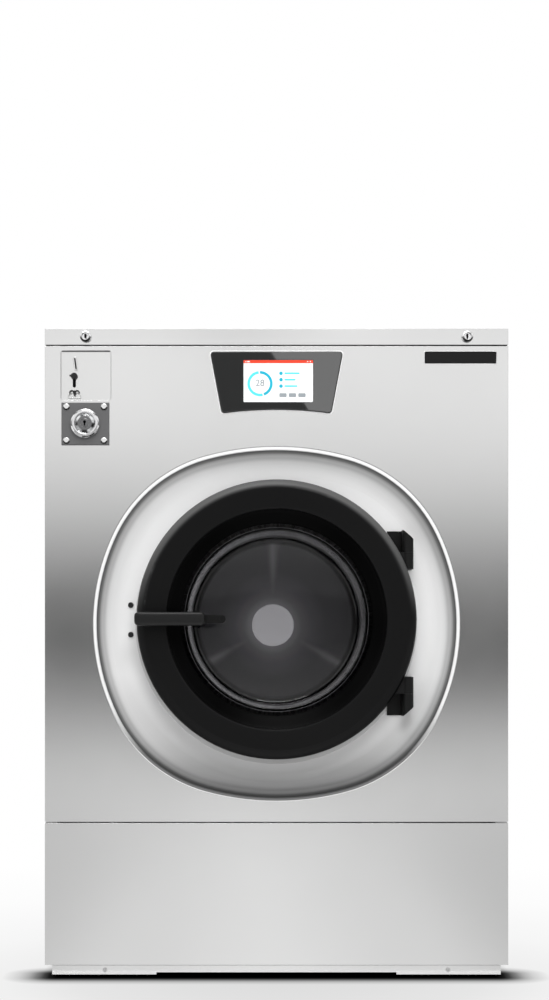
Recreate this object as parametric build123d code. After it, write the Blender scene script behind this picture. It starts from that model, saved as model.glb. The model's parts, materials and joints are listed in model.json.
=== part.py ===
from build123d import *
import os
from math import acos, asin, atan2, cos, degrees, hypot, pi, radians, sin, sqrt

# A coin-operated, front-loading washer extractor that is bolted to the floor.
# Lengths are millimetres. X runs to the right of a person facing the machine, Y runs
# from the front to the back, Z is up. The origin is on the floor, at the centre of the
# anchor bolts.

# Cabinet
side_clearance = 90.0
shaft_to_back = 28.0
tub_headroom = 224.0
sheet = 1.5
seam = 3.0
return_flange = 25.0
top_apron = 36.5
lower_panel_height = 321.5

# Clearances
cut_over = 6.0
run_gap = 0.4
pin_gap = 0.05
seat_gap = 0.3

# Base and the floor
sill_height = 21.0
sill_inset = 15.0
sill_setback = 12.0
sill_plate = 2.5
sill_notch_height = 5.0
sill_notch_width = 546.0
sill_bolt_spacing = 780.0
rail_width = 60.0
rail_height = 110.0
rail_wall = 5.0
foot_pad = 120.0
foot_plate = 8.0
anchor_hole_radius = 9.0
anchor_inset_x = 100.0
anchor_inset_y = 130.0
saddle_plate = 8.0
saddle_width = 420.0
front_saddle_setback = 155.0
rear_saddle_setback = 130.0
cross_rail_width = 50.0
motor_deck_length = 330.0
motor_deck_thickness = 10.0
motor_deck_lead = 35.0

# Side access panels
access_height = 227.0
access_proud = 2.0
access_margin = 14.0
access_opening_margin = 35.0
access_length = 640.0
cover_rest_setback = 30.0

# Panel screws
screw_head_radius = 5.0
screw_head_height = 2.6
screw_socket_radius = 2.2
screw_socket_depth = 1.6
screw_shank_radius = 2.4
screw_shank_length = 8.0
screw_edge = 12.0
screw_hole_radius = 2.9

# Height of the tub over the base rails
tub_lift = 262.0

# Dished door surround
surround_drop = 10.0
surround_reach_x = 90.0
surround_reach_z = 76.0
surround_corner_x = 75.0
surround_corner_z = 66.0
bead_width = 10.0
bead_proud = 4.0
bead_round = 3.2
dish_depth = 48.0
dish_draft = 28.0
dish_fillet = 42.0
dish_hole_gap = 3.5
surround_lap = 0.6

# Door ring
ring_radius = 317.0
ring_front = 25.0
ring_back = 30.0
ring_shoulder = 20.0
ring_inner_radius = 248.0
ring_lip = 4.0
ring_face_sag = 4.0
funnel_front = 9.0
glass_seat_depth = 10.0
glass_seat_radius = 237.0
ring_throat_radius = 218.0
retainer_radius = 262.0
retainer_inner_radius = 209.0
retainer_thickness = 4.0
retainer_screw_count = 12
retainer_screw_turn = 15.0
retainer_screw_radius = 3.0
retainer_screw_height = 1.6
ring_rear_lead = 13.0

# Door glass
glass_thickness = 6.0
glass_floor_radius = 196.0
glass_depth = 150.0
glass_floor_crown = 10.0
glass_floor_fillet = 18.0

# Door hinge
hinge_inset = 19.0
hinge_y = 2.0
hinge_knuckle_radius = 12.5
hinge_pin_radius = 6.0
hinge_pin_start = 12.0
hinge_knuckle_inner = 114.0
hinge_knuckle_split = 152.0
hinge_knuckle_outer = 203.0
hinge_drop = 16.0
hinge_bracket_reach = 44.0
hinge_bracket_plate = 5.0
hinge_arm_reach = 60.0
hinge_arm_thickness = 18.0
hinge_corner_width = 24.0
hinge_corner_drop = 21.0

# Door handle and its hook
grip_length = 157.0
grip_height = 30.6
grip_thickness = 34.0
grip_round = 6.5
grip_edge = 3.0
lever_height = 19.0
lever_thickness = 16.0
lever_length = 186.0
lever_tip_recess = 2.0
handle_pivot_inset = 25.0
handle_pivot_lift = 13.0
handle_pin_radius = 4.0
handle_boss_radius = 8.0
handle_ear_thickness = 4.4
handle_ear_width = 15.0
hook_width = 9.0
hook_plate = 8.0
hook_length = 104.0
hook_barb = 10.0
hook_barb_length = 12.0
hook_slot_left = 14.0
hook_slot_right = 22.0
hook_slot_height = 30.0

# Door lock behind the surround
lock_case_width = 88.0
lock_case_height = 110.0
lock_case_depth = 46.0
lock_wall = 3.0
lock_screw_offset = 34.0
lock_screw_reach = 17.0
lock_screw_radius = 6.4
lock_bolt_length = 27.0
lock_bolt_thickness = 3.6
lock_bolt_height = 24.0
lock_bolt_retreat = 14.0

# Tub
drum_clearance = 32.0
tub_wall = 3.0
tub_front_depth = 105.0
tub_back_clearance = 50.0
tub_plate = 5.0
tub_collar_radius = 250.0
tub_collar_wall = 3.0
tub_collar_front = 62.0
tub_hub_hole_radius = 78.0

# Door gasket
gasket_lip = 14.0
gasket_grip = 8.0
gasket_back_depth = 92.0
gasket_lip_thickness = 9.0
gasket_fold = 5.0

# Drum
drum_radius = 400.0
drum_wall = 2.0
drum_front_clearance = 27.0
drum_length = 638.0
drum_plate = 4.0
drum_mouth_inset = 10.0
drum_lip_radius = 5.0
lifter_height = 170.0
lifter_base_width = 160.0
lifter_top_width = 64.0
lifter_round = 16.0
lifter_wall = 2.5
lifter_end_gap = 3.0
hub_cap_radius = 56.0
hub_cap_height = 14.0
hub_cap_round = 5.0

# Shaft, bearings and frame
shaft_radius = 35.0
shaft_tail = 14.0
shaft_seal_width = 12.0
shaft_seal_bevel = 2.0
spider_arm_width = 70.0
spider_arm_radius = 360.0
spider_thickness = 22.0
spider_boss_radius = 72.0
bearing_outer_radius = 65.0
bearing_width = 32.0
bearing_bevel = 1.5
housing_radius = 77.0
housing_flange_radius = 150.0
housing_flange = 16.0
housing_length = 160.0
housing_rib_count = 6
housing_rib_turn = 30.0
housing_rib_thickness = 12.0
housing_rib_fall = 60.0
bearing_frame_plate = 12.0
bearing_frame_foot = 205.0
bearing_frame_head = 150.0
bearing_frame_top = 200.0
bearing_frame_window_share = 0.36
bearing_frame_sill = 22.0

# Belt drive
pulley_radius = 210.0
pulley_rim = 26.0
pulley_gap = 19.0
pulley_width = 54.0
pulley_web = 12.0
pulley_hub_radius = 58.0
pulley_hole_count = 5
pulley_hole_radius = 38.0
motor_pulley_radius = 48.0
belt_count = 3
belt_pitch = 16.0
belt_width = 8.4
belt_thickness = 8.0
groove_depth = 12.0
groove_top = 13.0
groove_bottom = 9.2
groove_belt_sink = 2.0
motor_x = 320.0
motor_axis_rise = 106.0
motor_radius = 92.0
motor_length = 262.0
motor_pulley_gap = 97.0
motor_fin_count = 20
motor_fin_height = 9.0
motor_fin_thickness = 4.0
motor_shaft_radius = 14.0
motor_foot_width = 170.0
motor_foot_height = 16.0
motor_box_width = 90.0
motor_box_height = 50.0
motor_bell_length = 40.0
motor_bell_share = 0.72

# Drain
sump_setback = 345.0
sump_radius = 42.0
sump_wall = 4.0
valve_rise = 90.0
valve_radius = 52.0
valve_length = 120.0
valve_motor_size = 70.0
drain_radius = 38.1
drain_step = 1.5
drain_wall = 3.0
drain_stub = 60.0
drain_flange_radius = 52.0
drain_flange = 3.0
hose_band = 12.0
hose_band_proud = 2.0
drain_socket = 14.0

# Water inlets
inlet_drop = 136.0
inlet_x = 190.0
inlet_spacing = 90.0
inlet_thread_radius = 13.2
inlet_thread_length = 18.0
inlet_bore_radius = 8.0
inlet_body_radius = 20.0
inlet_body_length = 34.0
inlet_coil_size = 32.0
inlet_spigot = 30.0
inlet_flange_radius = 27.0
inlet_flange = 3.0
fill_radius = 11.0
fill_bore_share = 0.72
fill_drop = 60.0

# Control bezel and screen
bezel_drop = 52.1
bezel_height = 140.8
bezel_top_width = 301.9
bezel_bottom_width = 248.6
bezel_arch = 8.6
bezel_round = 8.0
bezel_proud = 6.0
bezel_edge = 1.6
bezel_cut_margin = 22.0
screen_x = 3.9
screen_drop = 67.6
screen_width = 157.4
screen_tall = 94.8
screen_sink = 0.8
screen_glass = 2.4
screen_round = 2.0
module_depth = 44.0
module_lip = 10.0
module_rib = 3.0
module_fin_count = 9

# Nameplate
nameplate_edge = 108.3
nameplate_drop = 65.4
nameplate_width = 162.6
nameplate_tall = 27.2
nameplate_proud = 1.2
nameplate_round = 3.0

# Coin drop
coin_edge = 93.0
coin_drop = 105.7
coin_window_width = 114.3
coin_window_tall = 112.3
coin_window_round = 6.0
coin_plate_thickness = 3.0
coin_plate_lap = 6.0
coin_slot_dx = -23.8
coin_slot_dz = 26.3
coin_slot_width = 3.2
coin_slot_length = 26.6
coin_slot_tilt = 8.0
coin_slot_frame = 2.4
coin_slot_proud = 1.0
reject_dx = -26.4
reject_dz = -2.0
reject_knob_radius = 7.5
reject_knob_proud = 8.0
reject_slot_width = 7.0
reject_slot_drop = 29.0
reject_stem_width = 5.0
reject_ear = 6.0
cup_dx = -25.8
cup_dz = -45.2
cup_width = 29.0
cup_tall = 15.0
cup_rim = 1.6
cup_proud = 2.2
cup_wall = 2.0
cup_widening = 1.0
cup_depth = 22.0
flap_thickness = 1.6
flap_pin_radius = 0.8
flap_pin_reach = 1.2
reject_washer_radius = 6.0
reject_washer = 1.5
acceptor_width = 78.0
acceptor_tall = 96.0
acceptor_depth = 70.0
acceptor_offset = 30.0
acceptor_wall = 2.5

# Coin vault
vault_edge = 92.0
vault_drop = 110.3
vault_plate_width = 108.0
vault_plate_tall = 95.7
vault_plate_thickness = 5.0
vault_plate_bevel = 1.0
vault_window_margin = 4.0
vault_wall = 2.0
vault_depth = 250.0
box_wall = 1.6
box_length = 226.0
box_side_gap = 1.5
rivet_dx = 42.5
rivet_dz = 38.2
rivet_radius = 7.6
rivet_height = 3.4
dome_share = 0.9
vault_lock_radius = 33.5
vault_lock_height = 12.0
vault_lock_round = 7.0
vault_dish_radius = 24.0
vault_dish_depth = 3.0
vault_plug_radius = 9.8
vault_plug_collar_radius = 12.6
vault_plug_proud = 1.4
key_slot_width = 2.4
key_slot_length = 11.0
key_slot_depth = 4.0
key_bow_radius = 2.4
vault_cam_length = 48.5
vault_cam_width = 14.0
vault_cam_thickness = 3.0
vault_cam_depth = 22.0
vault_cam_slot_margin = 3.0
vault_cam_sweep = 26.0

# Top cover and its locks
top_lock_edge = 93.5
top_lock_drop = 1.0
top_lock_head_radius = 12.6
top_lock_head_height = 5.0
top_lock_head_round = 3.0
top_lock_barrel_radius = 9.2
top_lock_cam_length = 36.0
top_lock_cam_width = 14.0
top_lock_cam_thickness = 2.6
top_lock_cam_depth = 29.0
cover_hinge_edge = 125.0
cover_hinge_length = 80.0
cover_hinge_leaf = 28.0
cover_hinge_leaf_thickness = 2.5
cover_hinge_knuckle_radius = 6.0
cover_hinge_pin_radius = 3.0

# Supply dispenser in the top cover
dispenser_x = 150.0
dispenser_setback = 120.0
dispenser_width = 330.0
dispenser_length = 220.0
dispenser_depth = 105.0
dispenser_wall = 3.0
dispenser_rim = 12.0
dispenser_rim_height = 5.0
dispenser_cup_count = 3
dispenser_outlet_radius = 22.0
dispenser_outlet_length = 34.0
lid_thickness = 3.0
lid_height = 13.0
lid_overhang = 5.0
lid_round = 14.0
lid_pin_radius = 2.5
lid_lug_width = 14.0
lid_grip_width = 90.0
lid_grip_depth = 8.0
funnel_mouth_radius = 31.0
funnel_neck_radius = 20.0
funnel_wall = 4.0
funnel_overlap = 16.0
funnel_mouth_height = 40.0
funnel_fall = 26.0

# Rear panel fittings
louvre_count = 9
louvre_width = 210.0
louvre_pitch = 22.0
louvre_height = 6.0
louvre_base = 470.0
louvre_edge = 255.0
terminal_width = 120.0
terminal_tall = 150.0
terminal_proud = 46.0
terminal_edge = 195.0
terminal_drop = 226.0
gland_radius = 14.0
gland_length = 22.0
gland_bore_radius = 8.0
inverter_width = 200.0
inverter_tall = 260.0
inverter_depth = 120.0
inverter_drop = 186.0
inverter_edge = 195.0
inverter_fin_count = 10
inverter_fin = 10.0

# Depths behind the front panel's face, from the front to the back
tub_radius = drum_radius + drum_clearance
tub_outer_radius = tub_radius + tub_wall
drum_front_depth = tub_front_depth + drum_front_clearance
drum_back_depth = drum_front_depth + drum_length
tub_back_depth = drum_back_depth + tub_back_clearance
housing_end_depth = tub_back_depth + tub_plate + housing_length
pulley_start = housing_end_depth + pulley_gap
shaft_end_depth = pulley_start + pulley_width + shaft_tail
cabinet_depth = shaft_end_depth + shaft_to_back
motor_start = pulley_start - motor_pulley_gap - motor_length
motor_deck_start = motor_start - motor_deck_lead
front_saddle_depth = tub_front_depth + front_saddle_setback
rear_saddle_depth = tub_back_depth - rear_saddle_setback
sump_depth = tub_front_depth + sump_setback

# Cabinet, from the tub and the drum's axis
cabinet_width = 2 * (tub_outer_radius + side_clearance)
axis_height = rail_height + tub_lift + tub_outer_radius
cabinet_height = axis_height + tub_outer_radius + tub_headroom

# Worked out from the sizes above
panel_y = -cabinet_depth / 2
back_y = cabinet_depth / 2
half_width = cabinet_width / 2
cover_bottom = cabinet_height - top_apron
lower_panel_bottom = sill_height + seam
lower_panel_top = lower_panel_bottom + lower_panel_height
front_panel_bottom = lower_panel_top + seam
front_panel_top = cover_bottom - seam
rail_x = half_width - sill_inset - rail_width / 2
floor_y = panel_y + dish_depth
ring_face_y = panel_y - ring_front
ring_back_y = panel_y + ring_back
anchor_spacing_x = cabinet_width - 2 * anchor_inset_x
anchor_spacing_y = cabinet_depth - 2 * anchor_inset_y
motor_height = rail_height + motor_deck_thickness + motor_axis_rise
valve_height = rail_height + valve_rise
drain_height = valve_height
drain_run_radius = drain_radius - drain_step
surround_height = axis_height - surround_drop
surround_half_width = ring_radius + surround_reach_x
surround_half_height = ring_radius + surround_reach_z
surround_corner_radius = ring_radius
hinge_x = ring_radius - hinge_inset
handle_pivot_x = ring_radius - handle_pivot_inset
lock_screw_x = ring_radius + lock_screw_reach
gasket_outer_radius = tub_collar_radius + tub_collar_wall + gasket_grip
gasket_inner_radius = tub_collar_radius - gasket_lip
dish_hole_radius = gasket_outer_radius + dish_hole_gap
drum_mouth_radius = tub_collar_radius - drum_mouth_inset
bezel_top = cabinet_height - bezel_drop
screen_height = bezel_top - screen_drop
coin_x = coin_edge - half_width
coin_height = cabinet_height - coin_drop
vault_x = vault_edge - half_width
vault_height = coin_height - vault_drop
nameplate_x = half_width - nameplate_edge
nameplate_z = cabinet_height - nameplate_drop
top_lock_x = half_width - top_lock_edge
cover_hinge_x = half_width - cover_hinge_edge
louvre_x = half_width - louvre_edge
terminal_x = half_width - terminal_edge
terminal_height = cabinet_height - terminal_drop
inverter_x = half_width - inverter_edge
inverter_height = cabinet_height - inverter_drop
inlet_height = cabinet_height - inlet_drop


def depth(d):
    """Y of a place that lies d behind the front panel's face."""
    return panel_y + d


def block(x0, x1, y0, y1, z0, z1):
    """A box between three pairs of faces."""
    size = Box(abs(x1 - x0), abs(y1 - y0), abs(z1 - z0))
    return Pos((x0 + x1) / 2, (y0 + y1) / 2, (z0 + z1) / 2) * size


def rod_y(x, z, radius, y0, y1):
    """A cylinder along Y."""
    body = Rot(90, 0, 0) * Cylinder(radius, abs(y1 - y0))
    return Pos(x, (y0 + y1) / 2, z) * body


def rod_x(y, z, radius, x0, x1):
    """A cylinder along X."""
    body = Rot(0, 90, 0) * Cylinder(radius, abs(x1 - x0))
    return Pos((x0 + x1) / 2, y, z) * body


def rod_z(x, y, radius, z0, z1):
    """A cylinder along Z."""
    return Pos(x, y, (z0 + z1) / 2) * Cylinder(radius, abs(z1 - z0))


def tube_y(x, z, outer, inner, y0, y1):
    """A round tube along Y."""
    hole = rod_y(x, z, inner, min(y0, y1) - cut_over, max(y0, y1) + cut_over)
    return rod_y(x, z, outer, y0, y1) - hole


def spun(outline, x, z):
    """Revolves a closed outline of (radius, y) points and arcs about an axis along Y."""
    face = make_face(outline)
    return Pos(x, 0, z) * revolve(face, Axis.Y, 360)


def spun_points(points, x, z):
    """Revolves a polygon of (radius, y) points about an axis along Y."""
    return spun(Polyline(*[(r, y) for r, y in points], close=True), x, z)


def upright(face, y):
    """Stands a sketch drawn in X and Z at a depth y, so that it extrudes towards the front."""
    return Location((0, y, 0), (90, 0, 0)) * face


def slab(face, y0, y1):
    """Extrudes a sketch drawn in X and Z from the depth y0 to the depth y1."""
    front, back = min(y0, y1), max(y0, y1)
    return extrude(upright(face, back), back - front)


def ring_of(count, start=0.0):
    """Angles of count places spread evenly round a circle."""
    return [start + 360.0 * i / count for i in range(count)]


def around(x, z, angle):
    """Turns a piece about an axis along Y through (x, z)."""
    return Pos(x, 0, z) * Rot(0, angle, 0) * Pos(-x, 0, -z)


def rounded_plate(x, z, width, tall, radius, y0, y1):
    """A flat plate with rounded corners, in X and Z."""
    face = Pos(x, z) * RectangleRounded(width, tall, radius)
    return slab(face, y0, y1)


def tray(x0, x1, y0, y1, z0, z1, wall):
    """A box that is open at the top."""
    inside = block(x0 + wall, x1 - wall, y0 + wall, y1 - wall, z0 + wall, z1 + cut_over)
    return block(x0, x1, y0, y1, z0, z1) - inside


def clear_sleeve(x0, x1, y0, y1, z0, z1, wall):
    """A rectangular tube along Y with its walls outside the given space."""
    outer = block(x0 - wall, x1 + wall, y0, y1, z0 - wall, z1 + wall)
    return outer - block(x0, x1, y0 - cut_over, y1 + cut_over, z0, z1)


# The surround's outline is eight arcs: four bowed sides and four corners.
def side_radius(half, near, far):
    """Radius of the bowed side that meets a corner arc centred near and far along its axes."""
    r = surround_corner_radius
    return (r * r - (half - near) ** 2 - far * far) / (2 * (r + near - half))


def surround_outline(grow):
    """The surround's outline as a face in X and Z, moved outwards by grow."""
    a, b = surround_half_width, surround_half_height
    cx, cz = surround_corner_x, surround_corner_z
    rc = surround_corner_radius + grow
    rx, rz = side_radius(a, cx, cz), side_radius(b, cz, cx)
    side_x, side_z = (a - rx, 0.0), (0.0, b - rz)
    tilt_x = atan2(cz, cx - side_x[0])
    tilt_z = atan2(cz - side_z[1], cx)
    join_x = (cx + rc * cos(tilt_x), cz + rc * sin(tilt_x))
    join_z = (cx + rc * cos(tilt_z), cz + rc * sin(tilt_z))
    mid = (tilt_x + tilt_z) / 2
    crown = (cx + rc * cos(mid), cz + rc * sin(mid))

    def flip(p, sx, sz):
        return (sx * p[0], sz * p[1])

    edges = []
    for sx in (1, -1):
        edges.append(
            ThreePointArc(flip(join_x, sx, -1), (sx * (a + grow), 0.0), flip(join_x, sx, 1))
        )
    for sz in (1, -1):
        edges.append(
            ThreePointArc(flip(join_z, -1, sz), (0.0, sz * (b + grow)), flip(join_z, 1, sz))
        )
    for sx in (1, -1):
        for sz in (1, -1):
            edges.append(
                ThreePointArc(flip(join_x, sx, sz), flip(crown, sx, sz), flip(join_z, sx, sz))
            )
    return Pos(0, surround_height) * make_face(edges)


def dish_solid(grow, bottom):
    """The space inside the surround, from the panel's face to the depth bottom."""
    lead = cut_over
    top = surround_outline(grow + lead * sin(radians(dish_draft)) / cos(radians(dish_draft)))
    plane = Location((0, depth(-lead), 0), (90, 0, 0)) * top
    body = extrude(plane, -(bottom + lead), taper=dish_draft)
    return body


def door_surround():
    inside = dish_solid(0.0, dish_depth)
    inside = fillet(inside.edges().group_by(Axis.Y)[-1], dish_fillet)
    outside = dish_solid(sheet, dish_depth + sheet)
    outside = fillet(outside.edges().group_by(Axis.Y)[-1], dish_fillet + sheet)
    front_cut = block(
        -half_width, half_width, depth(-2 * dish_depth), depth(0), 0, cabinet_height
    )
    wall = outside - inside - front_cut
    bead = slab(surround_outline(bead_width) - surround_outline(0.0), depth(-bead_proud), depth(0))
    bead = fillet(bead.edges().group_by(Axis.Y)[0], bead_round)
    hole = rod_y(0, axis_height, dish_hole_radius, depth(0), depth(dish_depth + cut_over))
    hook_slot = block(
        -handle_pivot_x - hook_slot_left - hook_barb,
        -handle_pivot_x + hook_slot_right,
        depth(dish_depth - cut_over),
        depth(dish_depth + cut_over),
        axis_height - hook_slot_height / 2,
        axis_height + hook_slot_height / 2,
    )
    return wall + bead - hole - hook_slot


def panel_with_returns(z0, z1, returns_top=True):
    """A front sheet with its edges folded back."""
    outer = block(-half_width, half_width, depth(0), depth(return_flange), z0, z1)
    top = z1 - sheet if returns_top else z1 + cut_over
    inner = block(
        -half_width + sheet,
        half_width - sheet,
        depth(sheet),
        depth(return_flange + cut_over),
        z0 + sheet,
        top,
    )
    return outer - inner


def bezel_face(grow):
    """The control bezel's outline, a trapezium whose lower edge is an arc."""
    top, bottom = bezel_top + grow, bezel_top - bezel_height - grow
    wide, narrow = bezel_top_width / 2 + grow, bezel_bottom_width / 2 + grow
    outline = [
        Line((-wide, top), (wide, top)),
        Line((wide, top), (narrow, bottom)),
        ThreePointArc((narrow, bottom), (0, bottom + bezel_arch), (-narrow, bottom)),
        Line((-narrow, bottom), (-wide, top)),
    ]
    face = make_face(outline)
    return fillet(face.vertices(), bezel_round)


def control_bezel():
    body = slab(bezel_face(0.0), depth(-bezel_proud), depth(0))
    body = chamfer(body.edges().group_by(Axis.Y)[0], bezel_edge)
    window = rounded_plate(
        screen_x,
        screen_height,
        screen_width,
        screen_tall,
        screen_round,
        depth(-bezel_proud - cut_over),
        depth(cut_over),
    )
    return body - window


def display_screen():
    """The glass pane of the touch screen, set just below the bezel's face."""
    return rounded_plate(
        screen_x,
        screen_height,
        screen_width,
        screen_tall,
        screen_round,
        depth(-bezel_proud + screen_sink),
        depth(-bezel_proud + screen_sink + screen_glass),
    )


def module_extent():
    """Half width, lower and upper edge of the display module, inside the bezel."""
    half = bezel_bottom_width / 2 - bezel_cut_margin
    low = bezel_top - bezel_height + bezel_cut_margin + bezel_arch
    return half, low, bezel_top - bezel_cut_margin


def display_module():
    half, low, high = module_extent()
    pane_back = depth(-bezel_proud + screen_sink + screen_glass)
    carrier = rounded_plate(
        screen_x,
        screen_height,
        screen_width - 2 * seat_gap,
        screen_tall - 2 * seat_gap,
        screen_round,
        pane_back,
        depth(0),
    )
    body = block(
        -half + seat_gap, half - seat_gap, depth(0), depth(module_depth), low + seat_gap, high - seat_gap
    )
    ears = block(
        -half - module_lip,
        half + module_lip,
        depth(sheet),
        depth(sheet + module_rib),
        low - module_lip,
        high + module_lip,
    )
    ears = ears - block(
        -half - seat_gap, half + seat_gap, depth(0), depth(return_flange), low - seat_gap, high + seat_gap
    )
    body = carrier + body
    pitch = 2 * half / (module_fin_count + 1)
    for i in range(module_fin_count):
        x = -half + (i + 1) * pitch
        body = body - block(
            x - module_rib / 2,
            x + module_rib / 2,
            depth(module_depth - module_lip),
            depth(module_depth + cut_over),
            low + module_lip,
            high - module_lip,
        )
    flange = block(
        -half - module_lip,
        half + module_lip,
        depth(sheet),
        depth(sheet + module_rib),
        low - module_lip,
        high + module_lip,
    )
    return body + flange


def front_panel():
    body = panel_with_returns(front_panel_bottom, front_panel_top)
    hole = slab(surround_outline(sheet + surround_lap), depth(-cut_over), depth(return_flange / 2))
    half, low, high = module_extent()
    display = block(-half, half, depth(-cut_over), depth(sheet + cut_over), low, high)
    coin = rounded_plate(
        coin_x,
        coin_height,
        coin_window_width,
        coin_window_tall,
        coin_window_round,
        depth(-cut_over),
        depth(sheet + cut_over),
    )
    vault = vault_space(depth(-cut_over), depth(sheet + cut_over))
    return body - hole - display - coin - vault


def lower_front_panel():
    return panel_with_returns(lower_panel_bottom, lower_panel_top)


def nominal_screw(x, z, y, towards):
    """A round-head screw along Y, with its head on the side given by towards."""
    head = rod_y(x, z, screw_head_radius, y, y + towards * screw_head_height)
    rim = head.edges().filter_by(GeomType.CIRCLE).sort_by(Axis.Y)
    head = chamfer(rim[-1] if towards > 0 else rim[0], screw_head_height / 2)
    shank = rod_y(x, z, screw_shank_radius, y, y - towards * screw_shank_length)
    socket_floor = y + towards * (screw_head_height - screw_socket_depth)
    socket = rod_y(x, z, screw_socket_radius, socket_floor, socket_floor + towards * cut_over)
    return head + shank - socket


def sill_screw_places():
    return [(s * sill_bolt_spacing / 2, sill_height / 2) for s in (-1, 1)]


def rear_screw_places():
    """Places round the edge of the rear panel."""
    high = front_panel_top - screw_edge
    low = lower_panel_bottom + screw_edge
    edge = half_width - screw_edge
    columns = [(s * edge, low + (high - low) * i / 4) for s in (-1, 1) for i in range(5)]
    rows = [(s * edge / 3, z) for s in (-1, 1) for z in (low, high)]
    return columns + rows


def panel_screws():
    front = [nominal_screw(x, z, depth(sill_setback), -1) for x, z in sill_screw_places()]
    rear = [nominal_screw(x, z, back_y, 1) for x, z in rear_screw_places()]
    return Compound(children=[s.solid() for s in front + rear])


def kick_sill():
    """The narrow plate under the lower panel, with a shallow notch along its middle."""
    x1 = half_width - sill_inset
    face = block(-x1, x1, depth(sill_setback), depth(sill_setback + sill_plate), 0, sill_height)
    shelf = block(
        -x1,
        x1,
        depth(sill_setback),
        depth(sill_setback + return_flange),
        sill_height - sill_plate,
        sill_height,
    )
    notch = block(
        -sill_notch_width / 2,
        sill_notch_width / 2,
        depth(0),
        depth(return_flange),
        -cut_over,
        sill_notch_height,
    )
    body = face + shelf - notch
    for x, z in sill_screw_places():
        body = body - rod_y(x, z, screw_hole_radius, depth(0), depth(sill_setback + cut_over))
    return body


def frame_front():
    """Depth of the base frame's front face, behind the kick sill."""
    return sill_setback + return_flange


def base_frame():
    """The welded base: two side rails, cross rails, foot pads and the motor deck."""
    front, back = depth(frame_front()), back_y - 2 * return_flange
    body = None
    for s in (-1, 1):
        x = s * rail_x
        rail = block(x - rail_width / 2, x + rail_width / 2, front, back, foot_plate, rail_height)
        inner_face = x - s * (rail_width / 2 + cut_over)
        outer_wall = x + s * (rail_width / 2 - rail_wall)
        hollow = block(
            inner_face,
            outer_wall,
            front - cut_over,
            back + cut_over,
            foot_plate + rail_wall,
            rail_height - rail_wall,
        )
        rail = rail - hollow
        body = rail if body is None else body + rail
    inner = rail_x - rail_width / 2 + rail_wall
    places = [
        front + cross_rail_width / 2,
        depth(front_saddle_depth),
        depth(rear_saddle_depth),
        bearing_frame_y() + bearing_frame_plate / 2,
        back - cross_rail_width / 2,
    ]
    for y in places:
        low = y - cross_rail_width / 2
        high = y + cross_rail_width / 2
        body = body + block(-inner, inner, low, high, rail_height - cross_rail_width, rail_height)
    for sx in (-1, 1):
        for sy in (-1, 1):
            x, y = sx * anchor_spacing_x / 2, sy * anchor_spacing_y / 2
            half = foot_pad / 2
            pad = block(x - half, x + half, y - half, y + half, 0, foot_plate)
            body = body + pad
    for sx in (-1, 1):
        for sy in (-1, 1):
            x, y = sx * anchor_spacing_x / 2, sy * anchor_spacing_y / 2
            body = body - rod_z(x, y, anchor_hole_radius, -cut_over, foot_plate + rail_wall + cut_over)
    deck = block(
        motor_x - motor_foot_width / 2 - rail_wall,
        motor_x + motor_foot_width / 2 + rail_wall,
        depth(motor_deck_start),
        depth(motor_deck_start + motor_deck_length),
        rail_height,
        rail_height + motor_deck_thickness,
    )
    return body + deck


def tub_saddle(d):
    """An upright plate on a cross rail, hollowed to the tub's curve."""
    y = depth(d)
    plate = block(
        -saddle_width / 2,
        saddle_width / 2,
        y - saddle_plate / 2,
        y + saddle_plate / 2,
        rail_height,
        axis_height - tub_outer_radius * cos(asin(saddle_width / 2 / tub_outer_radius)),
    )
    plate = plate - rod_y(0, axis_height, tub_outer_radius, y - saddle_plate, y + saddle_plate)
    hole = drain_radius + hose_band_proud
    return plate - rod_y(0, drain_height, hole, y - saddle_plate, y + saddle_plate)


def tub_supports():
    """The two saddles under the tub and the rear plate that carries the bearing housing."""
    saddles = [tub_saddle(d) for d in (front_saddle_depth, rear_saddle_depth)]
    return Compound(children=[piece.solid() for piece in (*saddles, bearing_frame())])


def bearing_frame_y():
    """Y of the front face of the plate that carries the bearing housing."""
    return depth(tub_back_depth + tub_plate + housing_flange)


def bearing_frame():
    """The rear plate that carries the bearing housing on the base rails."""
    y0 = bearing_frame_y()
    y1 = y0 + bearing_frame_plate
    top = axis_height + bearing_frame_top
    points = [
        (-bearing_frame_foot, rail_height),
        (bearing_frame_foot, rail_height),
        (bearing_frame_head, top),
        (-bearing_frame_head, top),
    ]
    body = slab(make_face(Polyline(*points, close=True)), y0, y1)
    body = body - rod_y(0, axis_height, housing_radius, y0 - cut_over, y1 + cut_over)
    low = rail_height + bearing_frame_sill
    high = axis_height - housing_flange_radius - rail_wall
    half = bearing_frame_foot * bearing_frame_window_share
    window = Pos(0, (low + high) / 2) * RectangleRounded(2 * half, high - low, rail_width / 2)
    body = body - slab(window, y0 - cut_over, y1 + cut_over)
    for s in (-1, 1):
        points = [
            (y1 - bearing_frame_plate / 2, rail_height),
            (back_y - 2 * return_flange, rail_height),
            (y1 - bearing_frame_plate / 2, axis_height - pulley_radius - rail_width),
        ]
        face = make_face(Polyline(*points, close=True))
        x = s * (bearing_frame_foot - rail_width)
        body = body + extrude(Plane.YZ.offset(x) * face, bearing_frame_plate / 2, both=True)
    return body


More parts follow.
